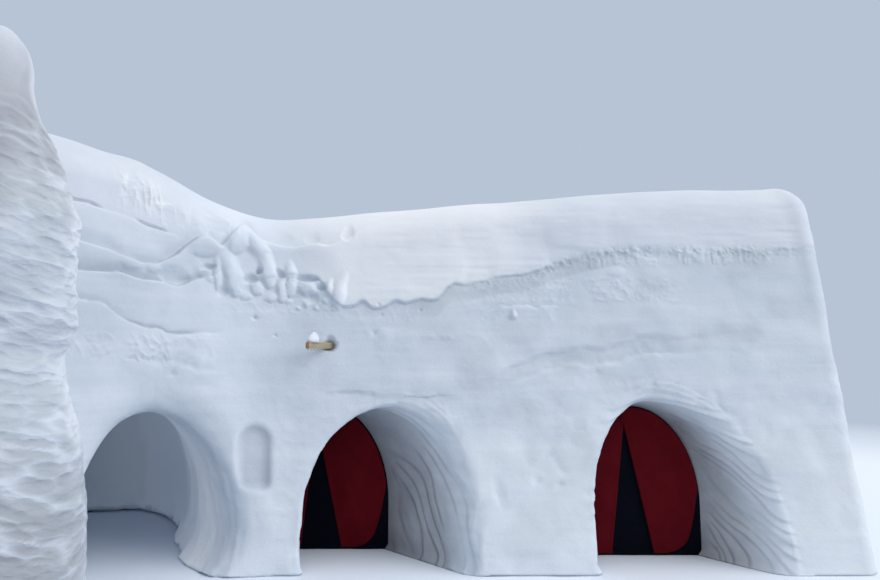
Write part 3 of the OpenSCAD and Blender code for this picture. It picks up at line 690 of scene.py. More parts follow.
def scattered(i, j, k, seed):
    """Repeatable values from 0 to 1 for the points of a lattice."""
    n = (i * 374761393 + j * 668265263 + k * 1442695041 + seed * 974634777) & 0xffffffff
    n = ((n ^ (n >> 13)) * 1274126177) & 0xffffffff
    return ((n ^ (n >> 16)) & 0xffffff) / float(0x1000000)


def noise(p, size, seed):
    """Smooth noise from -1 to 1 over points, with features of a size in each direction."""
    q = p / np.asarray(size, float)
    cell = np.floor(q).astype(np.int64)
    f = q - cell
    f = f * f * f * (f * (f * 6 - 15) + 10)
    total = np.zeros(len(p))
    for corner in np.ndindex(2, 2, 2):
        weight = np.prod(np.where(corner, f, 1 - f), axis=1)
        total += weight * scattered(*(cell + corner).T, seed)
    return total * 2 - 1


def shelf(away, forward, edge, fade, hollow, reach):
    """A shelf that starts where the distance away from its line is 0, with a hollow against it.

    It stands forward, is rounded over the length of its edge, and has run out where it fades.
    """
    out = forward * np.sqrt(1 - (1 - np.clip(away / edge, 0, 1)) ** 2)
    out = out * (1 - step(edge, fade, away))
    return np.where(away > 0, out, -hollow * np.exp(-(away / reach) ** 2))


def mound(s, z, row, draped=1.0):
    """One lobe, over the points near it only: their numbers and their heights.

    Its lower edge is as round as the row says, and its upper part runs out softly; so does its
    left side if draped is below 1.
    """
    at_s, at_z, half_w, half_h, lean, rise, roundness = row
    reach = max(half_w / draped, 2 * half_h)
    near = np.flatnonzero((np.abs(s - at_s) < reach) & (np.abs(z - at_z) < reach))
    ds, dz = s[near] - at_s, z[near] - at_z
    cos, sin = math.cos(math.radians(lean)), math.sin(math.radians(lean))
    a, b = (ds * cos + dz * sin) / half_w, (dz * cos - ds * sin) / half_h
    b = np.where(b > 0, b * 0.55, b)
    a = np.where(a < 0, a * draped, a)
    left = step(0.2, 0.8, -a) * (draped < 1)
    power = roundness + (1.6 - roundness) * np.maximum(step(0, 0.5, b), left)
    return near, rise * np.clip(1 - a * a - b * b, 0, 1) ** power


def cells(q, seed):
    """Distances from each point to the nearest and the next of the seeded points, one in each
    unit cell."""
    cell = np.floor(q).astype(np.int64)
    first = np.full(len(q), 9.0)
    second = first.copy()
    for shift in np.ndindex(3, 3, 3):
        there = cell + np.array(shift) - 1
        away = sum((there[:, k] + 0.15 + 0.7 * scattered(*there.T, seed + 71 * k) - q[:, k]) ** 2
                   for k in range(3))
        second = np.minimum(second, np.maximum(first, away))
        first = np.minimum(first, away)
    return np.sqrt(first), np.sqrt(second)


def crumple(p, size, seed):
    """Rough broken snow, from 0 to about 1: folds between smooth facets, at two sizes."""
    q = p @ TURNED.T
    coarse = 1 - np.abs(noise(q, size, seed))
    return 0.65 * coarse ** 3 + 0.35 * (1 - np.abs(noise(q, size * 0.45, seed + 1))) ** 3


def curtain(s, z):
    """Where loose snow has run down over the wing, from 0 to 1."""
    reach = window(s, -1.3, -1.0, 0.12) + 0.3 * window(s, -1.0, -0.5, 0.2)
    return np.minimum(reach, 1) * np.exp(-((z - smooth_line(s, CURTAIN)) / CURTAIN_HALF_H) ** 2)


def streaks(p):
    """Thin upright ridges, from 0 to 1."""
    return (1 - np.abs(noise(p, (0.05, 0.05, 0.2), 14))) ** 3


def on_front_plane(s, z):
    """Points for the noise of the front, which doesn't change with depth."""
    return np.column_stack([s, np.zeros(len(s)), z])


# Lengths of the relief of the front, most of them how far it stands out or in
WAVER = 0.010, 0.016  # of the lines of the layers: fine and coarse
TEETH = 0.022
LIP_PROUD = 0.026
LIP_PROUD_BROKEN = 0.018
LIP_HOLLOW = 0.006
LIP_ROUND = 0.02
STREAK_H = 0.02
CURTAIN_CRUMBS = 0.016
CURTAIN_HALF_H = 0.17
LIP_CRUMBS = 0.028
DRIP_H = 0.012
FACE_CRUMBS = 0.006
CRUST_H = 0.026
SWELL_H = 0.011
CAP_BEDS = 0.003
SEAM_CRUMBS = 0.012
SEAM_IN_BY = 0.026


def cap_lip(s, z, p, fine):
    """Height over the lip of the cap, and the relief of its rounded edge."""
    teeth = noise(p, (0.05, 0.05, 0.3), 13) * TEETH
    right = step(2.9, 3.3, s)
    broken = step(1.4, 1.7, s)
    lip = z - smooth_line(s, CAP_LIP) - (fine + teeth) * (0.5 + 0.5 * right) * step(1.3, 1.6, s)
    proud = LIP_PROUD - (LIP_PROUD - LIP_PROUD_BROKEN) * broken
    edge = shelf(lip, proud, LIP_ROUND, 1.2, LIP_HOLLOW, 0.025)
    edge *= (0.25 + 0.75 * step(0.15, 0.45, s)) * step(-0.5, -0.3, s) * (1 - 0.7 * right)
    edge *= 1 - broken * (0.85 - 0.7 * step(-0.4, 0.4, noise(p, 0.3, 62)))
    over_shelf = z - smooth_line(s, UPPER_SHELF) - 0.5 * fine
    return lip, edge * (1 - step(-0.03, 0.02, over_shelf) * (1 - step(0.45, 1.0, s)))


def shelf_strength(line, s, p):
    """How strongly a shelf shows: one is weaker to its right, and one comes and goes."""
    if line is UPPER_SHELF:
        return 1 - 0.7 * step(-0.45, -0.25, s)
    return step(-0.5, 0.5, noise(p, 0.3, 61)) if line is UNDER_CAP_SEAM else 1


def ledges(s, z, p, fine):
    """The shelves of the layers and the joints that stand open between them."""
    h = np.zeros(len(s))
    for line, side, waver, stretch, lengths in SHELVES:
        under = smooth_line(s, line) + waver * fine - z
        strength = window(s, *stretch) * shelf_strength(line, s, p)
        h += strength * shelf(side * under, *lengths)
    for line, waver, stretch, above, half_w, depth in OPEN_JOINTS:
        under = smooth_line(s, line) + waver * fine - z
        h -= window(s, *stretch) * np.exp(-((under + above) / half_w) ** 2) * depth
    return h


def lobes_and_dents(h, s, z, p):
    """Relief with the lobes and lumps added, as high as the highest, and the dents taken away."""
    warped = [v + noise(p, 0.13, seed) * 0.012 + noise(p, 0.05, seed + 1) * 0.005
              for v, seed in ((s, 47), (z, 49))]
    raised = np.zeros(len(s))
    for row in LOBES + LUMPS:
        near, rise = mound(*warped, row, LOBE_DRAPED)
        raised[near] = np.maximum(raised[near], MOUND_SCALE * rise)
    h = h + raised
    for row in DENTS:
        near, depth = mound(*warped, row)
        h[near] -= MOUND_SCALE * depth
    near, depth = mound(s, z, BATTEN_HOLLOW)
    h[near] -= depth
    for at_s, at_z, r in PITS:
        h -= PIT_DEPTH * r * np.exp(-((s - at_s) ** 2 + (z - at_z) ** 2) / r ** 2)
    return h


def rough_snow(s, z, p, lip, patchy):
    """Crumbs, run-down snow, drips, crust and swells, each where the front has them."""
    turned = p @ TURNED.T
    loose = (crumple(p, 0.06, 20) - 0.4) * CURTAIN_CRUMBS
    h = curtain(s, z) * (streaks(p) * STREAK_H + loose)
    for left, right, low, high, size, amount in CRUMBLY:
        here = window(s, left, right, 0.15) * window(z, low, high, 0.08) * (0.3 + 0.7 * patchy)
        h += here * (crumple(p, size, 15) - 0.4) * amount
    spots = 0.15 + 0.85 * step(-0.25, 0.35, noise(p, 0.22, 59))
    at_lip = np.exp(-((lip + 0.03) / 0.06) ** 2) * step(1.4, 1.8, s)
    h += at_lip * spots * (crumple(p, 0.045, 16) - 0.35) * LIP_CRUMBS
    drips = window(lip, -0.14, -0.01, 0.03) * window(s, 3.0, 4.8, 0.2)
    h += drips * spots * streaks(p) * DRIP_H
    face = (1 - step(-0.02, 0.03, lip)) * step(-0.3, 0.4, noise(p, 0.45, 60))
    h += face * (crumple(p, 0.13, 58) - 0.4) * FACE_CRUMBS
    crust = window(s, 1.3, 4.4, 0.5) * window(z, 0.7, 1.75, 0.25)
    crust *= step(-0.3, 0.5, noise(p, 0.5, 56))
    h += crust * (np.abs(noise(turned, (0.2, 0.12, 0.2), 57)) - 0.3) * CRUST_H
    below_lip = 1 - step(-0.1, 0.0, lip)
    h += window(s, 1.3, 5.2, 0.5) * below_lip * noise(turned, 0.3, 64) * SWELL_H
    h += (lip > 0) * step(0.4, 1.0, s) * noise(p, (0.3, 0.3, 0.045), 17) * CAP_BEDS
    return h


def front_relief(s, z):
    """Relief of the front face: the layers that stick out, their lobes, dents and crumbs."""
    p = on_front_plane(s, z)
    fine = noise(p, 0.07, 11) * WAVER[0] + noise(p, 0.16, 12) * WAVER[1]
    patchy = 0.5 + 0.5 * noise(p, 0.4, 18)
    lip, h = cap_lip(s, z, p, fine)
    h += ledges(s, z, p, fine)
    over_seam = z - smooth_line(s, MIDDLE_SEAM) - 1.2 * fine
    band = window(over_seam, -0.15, -0.01, 0.03) * window(s, *SEAM_STRETCH)
    crumbs = crumple(p, 0.09, 19) * SEAM_CRUMBS
    h += band * (0.4 + 0.6 * patchy) * (crumbs - SEAM_IN_BY)
    return lobes_and_dents(h, s, z, p) + rough_snow(s, z, p, lip, patchy)


def saw(phase, sharp=0.2):
    """Rises over the first part of each turn and falls slowly over the rest, from -0.5 to 0.5."""
    f = phase - np.floor(phase)
    return np.where(f < sharp, f / sharp, (1 - f) / (1 - sharp)) - 0.5


# Tunnels with the ridges that shovels left: mouth, heading, end, slant of the ridges, and the
# pitch and the depth of the broad and of the narrow ones
TUNNELS = (
    (EAST_MOUTH, 0, EAST_DOOR, 0.75, (0.23, 0.010), (0.075, 0.017)),
    (MIDDLE_MOUTH, 0, MIDDLE_DOOR, 0.35, (0.26, 0.016), (0.09, 0.014)),
    (WING_MOUTH_ARCH, WING_TURN, WING_THROAT, 0.3, (0.4, 0.008), (0.15, 0.003)))
NARROW_SHARP = 0.22
ARC_PITCH = 0.04
ARC_SHARE = 0.35  # of the narrow ridges' depth


def tunnel_relief(x, y, z, mouth, turn, end, slant, broad, narrow):
    """Scraped ridges that run round a tunnel and outwards as they come down its sides.

    Broad and narrow ridges both come and go in patches. Also tells where the narrow grooves
    between them are, from 0 to 1.
    """
    along, across = ahead_aside(x, y, mouth["foot"], turn)
    reach, _ = ahead_aside(*end, mouth["foot"], turn)
    off = tunnel(x, y, z, mouth, turn, end, DOOR_FOOT)
    drop = np.maximum(mouth["h"] - z, 0)
    over_ridge = along + slant * drop
    on_ridge = drop - slant * along + 0.4 * across
    q = np.column_stack([over_ridge, on_ridge, 0 * z])
    warp = noise(q, (0.3, 0.9, 1), 21) * 1.1 + noise(q, (0.12, 0.5, 1), 22) * 0.45
    turns = over_ridge / narrow[0] + warp
    patches = step(-0.35, 0.45, noise(q, (0.22, 0.7, 1), 23))
    near_mouth = 0.35 + 0.65 * (1 - step(0.25 * reach, 0.8 * reach, along))
    wide = saw(over_ridge / broad[0] + warp * 0.6, 0.3) * broad[1]
    thin = saw(turns, NARROW_SHARP) * narrow[1] * patches * near_mouth
    inside = (1 - step(0.05, 0.15, np.abs(off))) * window(along, 0.02, reach - 0.12, 0.1)
    h = -inside * (wide + thin + noise(q, (0.05, 0.12, 1), 24) * 0.003)
    over_arch = window(off, 0.0, 0.1, 0.04) * step(mouth["h"] - 0.25, mouth["h"], z)
    off_arcs = off + noise(q, (0.2, 0.2, 1), 25) * 0.03
    arcs = saw(off_arcs / ARC_PITCH, 0.3) * ARC_SHARE * narrow[1]
    grooves = np.exp(-(((turns % 1) - NARROW_SHARP) / 0.12) ** 2)
    return (h - over_arch * (along < 0.5) * arcs,
            grooves * patches * inside * (0.4 + 0.6 * near_mouth))


# Cups of the pier: size of the broad ones around it, out from it and up it, how much closer the
# fine ones are, and how deep both kinds are
CUP_SIZE = 0.25, 0.4, 0.07
CUP_ROWS_RISE = 0.45
FINER = [1.9, 1.9, 1.6]
CUP_DEPTH = 0.04
FINE_CUP_DEPTH = 0.008
FINE_CUP_DEEPER = 0.009  # near the foot
CUP_MIDDLE = 0.014
PIER_SWELL_H = 0.012


def pier_relief(x, y, z, p):
    """Scallops that the wind has cut into the pier: shallow cups in rows that run down to the
    right. Also tells where their crests are, from 0 to 1."""
    _, across = ahead_aside(x, y, PIER_NOSE, PIER_TURN)
    out_x, out_y = x - PIER_NOSE[0], y - PIER_NOSE[1]
    around = across - 0.35 * out_y + noise(p, 0.2, 37) * 0.05
    waver = noise(p, 0.35, 31) * 0.06
    rows = z + CUP_ROWS_RISE * around + waver + noise(p, 0.11, 32) * 0.02
    q = np.column_stack([v / size for v, size in zip((around, out_y, rows), CUP_SIZE)])
    first, second = cells(q, 33)
    fine_first, fine_second = cells(q * FINER + 0.37, 36)
    low = 1 - step(1.0, 2.2, z)
    amount = (0.75 + 0.5 * noise(p, 0.4, 34)) * (1 - step(3.2, 3.6, z))
    cups = soft_min(first, second, 0.35) ** 2 * CUP_DEPTH * (1 - 0.3 * low)
    fine_depth = FINE_CUP_DEPTH + FINE_CUP_DEEPER * low
    cups += soft_min(fine_first, fine_second, 0.4) ** 2 * fine_depth
    crests = np.exp(-((second - first) / 0.24) ** 2) * step(0.35, 0.6, first)
    crests *= step(-0.5, 0.4, noise(q, (0.9, 0.9, 1.2), 38))
    fine_crests = np.exp(-((fine_second - fine_first) / 0.4) ** 2)
    fine_crests *= step(-0.2, 0.5, noise(q, (1.3, 1.3, 1.3), 39))
    _, to_bright_side = ahead_aside(x, y, PIER_NOSE, PIER_BRIGHT_TURN)
    facing = to_bright_side / np.maximum(np.hypot(out_x, out_y), 0.05)
    proud = smooth_line(z, PIER_PROUD_AT) * np.maximum(step(0.2, 0.9, facing), step(3.3, 3.7, z))
    return (amount * (cups - CUP_MIDDLE) + noise(p, 0.9, 35) * PIER_SWELL_H + proud,
            np.clip(amount * np.maximum(0.9 * crests, 0.35 * fine_crests), 0, 1))


# How far the other relief stands out: broad and middle swells, small lumps, and the lumps of the
# roof, of the tunnels' lips and of the rooms
SWELLS = 0.016, 0.008
SMALL_LUMPS = 0.0045
ROOF_LUMPS = 0.007
LIP_LUMPS = 0.006
ROOM_LUMPS = 0.006


def relief(vertices):
    """How far each point of the surface moves outwards, and where crests and grooves are."""
    x, y, z = vertices.T
    s, d = run_coords(x, y)
    p = vertices @ TURNED.T
    behind = d - FRONT_BATTER * z
    off = hollows(x, y, z)
    on_pier = pier_share(x, y, z, s, d)
    on_mass = 1 - on_pier
    outside = step(0.0, HOLLOW_REACH, off)
    in_hollow = along_hollow(off)
    on_front = (1 - step(0.04, 0.35, behind)) * step(0.0, 0.10, off) * on_mass
    on_top = step(-0.5, -0.2, z - roof_height(s, d)) * on_mass
    at_lips = (1 - step(0.03, 0.1, np.abs(off))) * (1 - step(0.1, 0.4, behind)) * on_mass
    at_right_end = (1 - step(0.0, 0.3, EAST_S - RIGHT_BATTER * z - s)) * window(z, 2.7, 3.6, 0.6)
    h = on_front * front_relief(s, z)
    h += outside * (noise(p, 1.3, 41) * SWELLS[0] + noise(p, 0.5, 42) * SWELLS[1])
    h += outside * (1 - on_top) * on_mass * noise(p, 0.17, 43) * SMALL_LUMPS
    on_roof = noise(p, (0.5, 0.9, 0.5), 44) * ROOF_LUMPS
    h += on_top * (on_roof + smooth_line(s, ROOF_PROUD_AT))
    h += at_lips * noise(p, 0.1, 46) * LIP_LUMPS
    h += at_right_end * (1 - step(0.4, 1.6, behind)) * RIGHT_END_PROUD
    h += in_hollow * step(0.9, 1.4, behind) * noise(p, 0.3, 45) * ROOM_LUMPS
    crests, grooves = np.zeros(len(h)), np.zeros(len(h))
    there = np.flatnonzero(on_pier > 0)
    cups, its_crests = pier_relief(x[there], y[there], z[there], p[there])
    h[there] += on_pier[there] * cups
    crests[there] = on_pier[there] * its_crests
    for row in TUNNELS:
        ridges, its_grooves = tunnel_relief(x, y, z, *row)
        h += ridges
        grooves = np.maximum(grooves, its_grooves)
    return h, crests, grooves


# Pieces: the surface cut where the nodes of the snow meet. The data has a row for each point, in
# the order of its rest place, its place, its normal and its looks
def cut(data, faces, value):
    """Cuts faces along value = 0: the data with new rows, and the faces below and above."""
    value = np.where(np.abs(value) < CUT_SNAP, 0, value)
    v = value[faces]
    low, high = v.min(axis=1), v.max(axis=1)
    crossed = (low < 0) & (high > 0)
    below, above = faces[(high <= 0)], faces[(low >= 0) & (high > 0)]
    q = faces[crossed]
    thirds = np.concatenate([q[:, [0, 1, 2]], q[:, [0, 2, 3]][q[:, 2] != q[:, 3]]])
    v = value[thirds]
    split = (v.min(axis=1) < 0) & (v.max(axis=1) > 0)
    plain, v_plain = thirds[~split], v[~split]
    flat = v_plain.sum(axis=1) <= 0
    rest, v = thirds[split], np.sign(v[split])
    lone = np.where((v == 0).any(axis=1), np.argmax(v == 0, axis=1),
                    np.argmax(v == -np.sign(v.sum(axis=1))[:, None], axis=1))
    turn = (lone[:, None] + np.arange(3)) % 3
    rest = np.take_along_axis(rest, turn, axis=1)
    a, b, c = rest.T
    through = value[a] == 0
    ends = np.concatenate([np.stack([b, c], 1)[through], np.stack([a, b], 1)[~through],
                           np.stack([a, c], 1)[~through]])
    ends = np.sort(ends, axis=1)
    ends, number = np.unique(ends, axis=0, return_inverse=True)
    number = number.ravel() + len(data)
    w = value[ends[:, 0]] / (value[ends[:, 0]] - value[ends[:, 1]])
    fresh = data[ends[:, 0]] * (1 - w[:, None]) + data[ends[:, 1]] * w[:, None]
    k, m = through.sum(), (~through).sum()
    p0, p1, p2 = number[:k], number[k:k + m], number[k + m:]
    at, bt, ct = a[through], b[through], c[through]
    an, bn, cn = a[~through], b[~through], c[~through]
    made = np.concatenate([np.stack(t, 1) for t in (
        (at, bt, p0), (at, p0, ct), (an, p1, p2), (p1, bn, cn), (p1, cn, p2))])
    side = np.concatenate([value[bt], value[ct], value[an], value[bn], value[bn]])
    made, plain = (np.column_stack([t, t[:, 2]]) for t in (made, plain))
    return (np.concatenate([data, fresh]),
            np.concatenate([below, plain[flat], made[side < 0]]),
            np.concatenate([above, plain[~flat], made[side > 0]]))


def joint_at(p, turn):
    """Value of an upright plane through a point: positive ahead of it."""
    return lambda x, y, z: ahead_aside(x, y, p, turn)[0]


def over(heights):
    """Value of a layer joint: positive over its heights along the foot line."""
    return lambda x, y, z: z - CEILING - np.interp(run_coords(x, y)[0], *zip(*heights))


def first_lift(x, y, z):
    """Value of the joint over the first lift: positive above it."""
    return z - COURSE_TOP


def bay(name, door, room):
    """The division of a bay: below and above the first lift, by its doorway and its room."""
    turn = heading(door, room)
    middle, side = joint_at(room, turn), joint_at(room, turn - 90)
    low = (middle, (side, name + "_jamb_left", name + "_jamb_right"),
           (side, name + "_room_wall_left", name + "_room_wall_right"))
    dome = (side, name + "_dome_left", name + "_dome_right")
    if name == "middle":
        dome = (middle, (side, "middle_dome_front_left", "middle_dome_front_right"),
                (side, "middle_dome_back_left", "middle_dome_back_right"))
    high = (joint_at(door + NECK * ahead(turn), turn), name + "_arch", dome)
    return (first_lift, low, high)


def layers(name, lower):
    """The division of a bay by height: what is low, its middle lift and its cap."""
    return (over(WALL_TOP_AT), lower, (over(CAP_FOOT_AT), name + "_middle_lift",
                                       name + "_snow_cap"))


EAST_JOINT = np.array([(MIDDLE_MOUTH["foot"][0] + MIDDLE_MOUTH["w"][1]
                        + EAST_MOUTH["foot"][0] - EAST_MOUTH["w"][0]) / 2, FRONT_Y])
EAST_JOINT_TURN = heading(EAST_JOINT, (MIDDLE_ROOM + EAST_ROOM) / 2)
WING_JOINT = (WING_MOUTH + WING_MOUTH_ARCH["w"][1] * aside(WING_TURN)
              + [MIDDLE_MOUTH["foot"][0] - MIDDLE_MOUTH["w"][0], FRONT_Y]) / 2
WING_JOINT_TURN = heading(WING_JOINT, (MIDDLE_ROOM + WING_ROOM) / 2)

NODES = (
    lambda x, y, z: mass(*run_coords(x, y), z) - pier(x, y, z),
    (joint_at(EAST_JOINT, EAST_JOINT_TURN - 90),
     (joint_at(WING_JOINT, WING_JOINT_TURN + 90),
      layers("middle", bay("middle", MIDDLE_DOOR, MIDDLE_ROOM)),
      layers("wing", (lambda x, y, z: -BEND_L - WING_BAY_L - run_coords(x, y)[0],
                      bay("wing", WING_THROAT, WING_ROOM), "wing_end_wall"))),
     layers("east", (lambda x, y, z: run_coords(x, y)[0] - END_WALL_S,
                     bay("east", EAST_DOOR, EAST_ROOM), "east_end_wall"))),
    (first_lift, "pier_base", (lambda x, y, z: z - PIER_JOINT_H, "pier_middle", "pier_cap")))


def divide(data, faces, rule, found):
    """Cuts the faces by a tree of rules, and puts the faces of each node in found."""
    if isinstance(rule, str):
        found[rule] = faces
        return data
    value, low_rule, high_rule = rule
    data, low, high = cut(data, faces, value(*data[:, :3].T))
    data = divide(data, low, low_rule, found)
    return divide(data, high, high_rule, found)


def vertex_normals(places, faces):
    """Normals of the whole surface, so that its pieces meet without an edge in the shading."""
    a, b, c, d = (places[faces[:, k]] for k in range(4))
    across = np.cross(c - a, d - b)
    bent = faces[:, 2] == faces[:, 3]
    across[bent] = np.cross(b - a, c - a)[bent]
    total = np.zeros_like(places)
    for k in range(4):
        for axis in range(3):
            total[:, axis] += np.bincount(faces[:, k], across[:, axis], len(places))
    return total / np.maximum(np.linalg.norm(total, axis=1), 1e-12)[:, None]


def mesh_object(name, places, faces, material, normals=None, values=None):
    """An object of rows of four corners, in which a triangle repeats its last corner."""
    used, faces = np.unique(faces, return_inverse=True)
    faces = faces.reshape(-1, 4)
    places = places[used]
    sizes = np.where(faces[:, 2] == faces[:, 3], 3, 4)
    corners = faces.ravel()[(np.arange(4)[None, :] < sizes[:, None]).ravel()]
    starts = np.concatenate([[0], np.cumsum(sizes)[:-1]])
    mesh = bpy.data.meshes.new(name)
    mesh.vertices.add(len(places))
    mesh.vertices.foreach_set("co", places.astype(np.float32).ravel())
    mesh.loops.add(len(corners))
    mesh.loops.foreach_set("vertex_index", corners.astype(np.int32))
    mesh.polygons.add(len(faces))
    mesh.polygons.foreach_set("loop_start", starts.astype(np.int32))
    mesh.update(calc_edges=True)
    mesh.validate()
    mesh.shade_smooth()
    if normals is not None:
        mesh.normals_split_custom_set_from_vertices(normals[used])
    for key, value in (values or {}).items():
        layer = mesh.attributes.new(key, "FLOAT", "POINT")
        layer.data.foreach_set("value", value[used].astype(np.float32))
    mesh.materials.append(material)
    piece = bpy.data.objects.new(name, mesh)
    bpy.context.scene.collection.objects.link(piece)
    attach(piece, "root")
    return piece


def stand_in(piece, node):
    """Hides the frame's node that a piece replaces."""
    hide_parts(node)


# Materials
LOOKS = ("fresh", "glaze_and_shade", "frost_and_lit", "inside")  # values that each point of the snow has: fresh snow with painted highlights, ice with painted shade, frost with painted light, and a painted glow


class Nodes:
    """Short ways to make and join the nodes of a material or world."""

    def __init__(self, owner, output):
        owner.use_nodes = True
        self.owner = owner
        self.tree = owner.node_tree
        self.tree.nodes.clear()
        self.output = self.add(output).inputs[0]

    def add(self, kind, **settings):
        node = self.tree.nodes.new(kind)
        for key, value in settings.items():
            setattr(node, key, value)
        return node

    def feed(self, node, inputs):
        for key, value in inputs.items():
            if isinstance(value, bpy.types.NodeSocket):
                self.tree.links.new(value, node.inputs[key])
            else:
                node.inputs[key].default_value = value
        return node

    def show(self, source):
        """Makes a source what is seen."""
        self.tree.links.new(source, self.output)

    def math(self, operation, a, b=0.0, c=0.0):
        node = self.add("ShaderNodeMath", operation=operation)
        return self.feed(node, {0: a, 1: b, 2: c}).outputs[0]

    def mix_shaders(self, factor, first, second):
        return self.feed(self.add("ShaderNodeMixShader"), {
            0: factor, 1: first, 2: second}).outputs[0]


class Material(Nodes):
    """A principled material on the object's own coordinates."""

    def __init__(self, name):
        super().__init__(bpy.data.materials.new(name), "ShaderNodeOutputMaterial")
        self.shader = self.add("ShaderNodeBsdfPrincipled")
        self.show(self.shader.outputs[0])
        self.place = self.add("ShaderNodeTexCoord").outputs["Object"]

    def given(self, key):
        """A value that the mesh has at each point."""
        return self.add("ShaderNodeAttribute", attribute_name=key).outputs["Fac"]

    def mapped(self, settings, **kind):
        """The object's own coordinates, moved, turned or stretched."""
        return self.feed(self.add("ShaderNodeMapping", **kind), {
            "Vector": self.place, **settings}).outputs[0]

    def noise(self, scale, detail=3.0, roughness=0.55, stretch=None):
        at = self.mapped({"Scale": stretch}) if stretch else self.place
        return self.feed(self.add("ShaderNodeTexNoise"), {
            "Vector": at, "Scale": scale, "Detail": detail, "Roughness": roughness}).outputs[0]

    def cells(self, scale, at=None):
        return self.feed(self.add("ShaderNodeTexVoronoi"), {
            "Vector": at or self.place, "Scale": scale}).outputs["Distance"]

    def axis(self, name):
        return self.feed(self.add("ShaderNodeSeparateXYZ"), {0: self.place}).outputs[name]

    def range(self, value, low, high, to_low=0.0, to_high=1.0):
        return self.feed(self.add("ShaderNodeMapRange"), {
            "Value": value, "From Min": low, "From Max": high,
            "To Min": to_low, "To Max": to_high}).outputs[0]

    def blend(self, factor, first, second):
        node = self.add("ShaderNodeMix", data_type="RGBA")
        return self.feed(node, {0: factor, 6: first, 7: second}).outputs[2]

    def bump(self, layers):
        """Bumps in turn: height, distance in metres and strength of each."""
        normal = {}
        for height, distance, strength in layers:
            bump = self.feed(self.add("ShaderNodeBump"), {
                "Height": height, "Distance": distance, "Strength": strength, **normal})
            normal = {"Normal": bump.outputs[0]}
        self.feed(self.shader, normal)

    def set(self, **values):
        self.feed(self.shader, {key.replace("_", " "): value for key, value in values.items()})


def srgb(r, g, b):
    """Linear colour from 8-bit display values."""
    linear = [v / 255 / 12.92 if v <= 10 else ((v / 255 + 0.055) / 1.055) ** 2.4
              for v in (r, g, b)]
    return (*linear, 1.0)


# Colours of the snow, each with that of its deeper patches; the icy grey also serves as painted
# shade, and the frost white as painted light
PACKED = srgb(190, 203, 216), srgb(209, 217, 228)
FRESH = srgb(204, 212, 225), srgb(210, 217, 229)
GLAZE_AND_SHADE_TONE = srgb(98, 94, 100), srgb(127, 129, 135)
FROST_AND_LIGHT_TONE = srgb(247, 249, 251)
PAINTED_GLOW_COLOUR = (0.013, 0.018, 0.026, 1.0)  # painted glow: the colour of an emission on the open room's walls, which stands in for daylight

# Small cups on the pier: heights between which they run out, and the size, the lean in
# degrees and the depth of the two kinds
SCALLOPED_BELOW = (3.1, 3.5)
BROAD_CUPS = ((0.17, 0.2, 0.062), 22.0, 0.034)
SMALL_CUPS = ((0.07, 0.08, 0.03), 14.0, 0.012)


def scallop_cups(m, size, lean):
    """Cups in rows that run down to the right: from 0 at their middles up to their crests."""
    turn = (0.0, math.radians(lean), 0.0)
    away = m.cells(1.0, m.mapped({"Rotation": turn, "Scale": size}, vector_type="TEXTURE"))
    return m.math("MULTIPLY", away, away)


def snow_material(name, grain, scallops=0.0):
    """Snow: grains and clumps, and drifts to fresh, icy and frosty tones as the mesh says, which
    also carry painted highlights, painted shade and painted light, and a painted glow.
    """
    m = Material(name)
    fresh, glaze_and_shade, frost_and_lit, inside = (m.given(key) for key in LOOKS)
    patches = m.range(m.noise(1.6, 4.0, 0.6), 0.35, 0.65)
    bands = m.range(m.noise(1.0, 5.0, 0.65, (0.5, 0.5, 7.0)), 0.36, 0.64)
    mixed = m.math("MULTIPLY_ADD", patches, 0.5, m.math("MULTIPLY", bands, 0.5))
    layers = []
    if scallops:
        below = m.range(m.axis("Z"), *SCALLOPED_BELOW, 1.0, 0.0)
        broad, small = (scallop_cups(m, *kind[:2]) for kind in (BROAD_CUPS, SMALL_CUPS))
        layers = [(m.math("MULTIPLY", broad, below), BROAD_CUPS[2], scallops),
                  (m.math("MULTIPLY", small, below), SMALL_CUPS[2], scallops)]
        # painted highlight: the crests of the broad cups take less of the icy grey, so they are
        # lighter as if catching the light
        crests = m.math("MULTIPLY", m.range(broad, 0.32, 0.7, 0.0, 0.6), below)
        glaze_and_shade = m.math("MULTIPLY", glaze_and_shade, m.math("SUBTRACT", 1.0, crests))
    # fresh also carries painted highlights, glaze_and_shade painted shade, and frost_and_lit
    # painted light
    tone = m.blend(fresh, m.blend(mixed, *PACKED), m.blend(patches, *FRESH))
    tone = m.blend(glaze_and_shade, tone, m.blend(patches, *GLAZE_AND_SHADE_TONE))
    # painted glow: the snow gives off the painted glow colour as strongly as its inside value says
    m.set(Base_Color=m.blend(frost_and_lit, tone, FROST_AND_LIGHT_TONE), Specular_IOR_Level=0.35,
          Roughness=m.range(m.noise(60.0, 2.0), 0.3, 0.7, 0.72, 0.95),
          Emission_Color=PAINTED_GLOW_COLOUR, Emission_Strength=inside)
    m.bump([*layers, (m.noise(9.0, 5.0, 0.6), 0.012, 0.35),
            (m.noise(38.0, 4.0, 0.6), 0.004, 0.55 * grain),
            (m.noise(190.0, 3.0, 0.65), 0.0016, 0.7 * grain), (m.cells(430.0), 0.0006, 0.5)])
    return m.owner


# Colours of the cloth, each after that of its worn patches, and sizes of its threads
RED = srgb(77, 4, 14), srgb(85, 6, 18)
BLACK = srgb(3, 4, 14), srgb(4, 6, 19)
WEAVE_PER_M = 262.0
STITCH_PER_M = 230.0
SEAM_IN = 0.016
SEAM_SHARP = 700.0
HEM_IN = (0.019, 0.021)


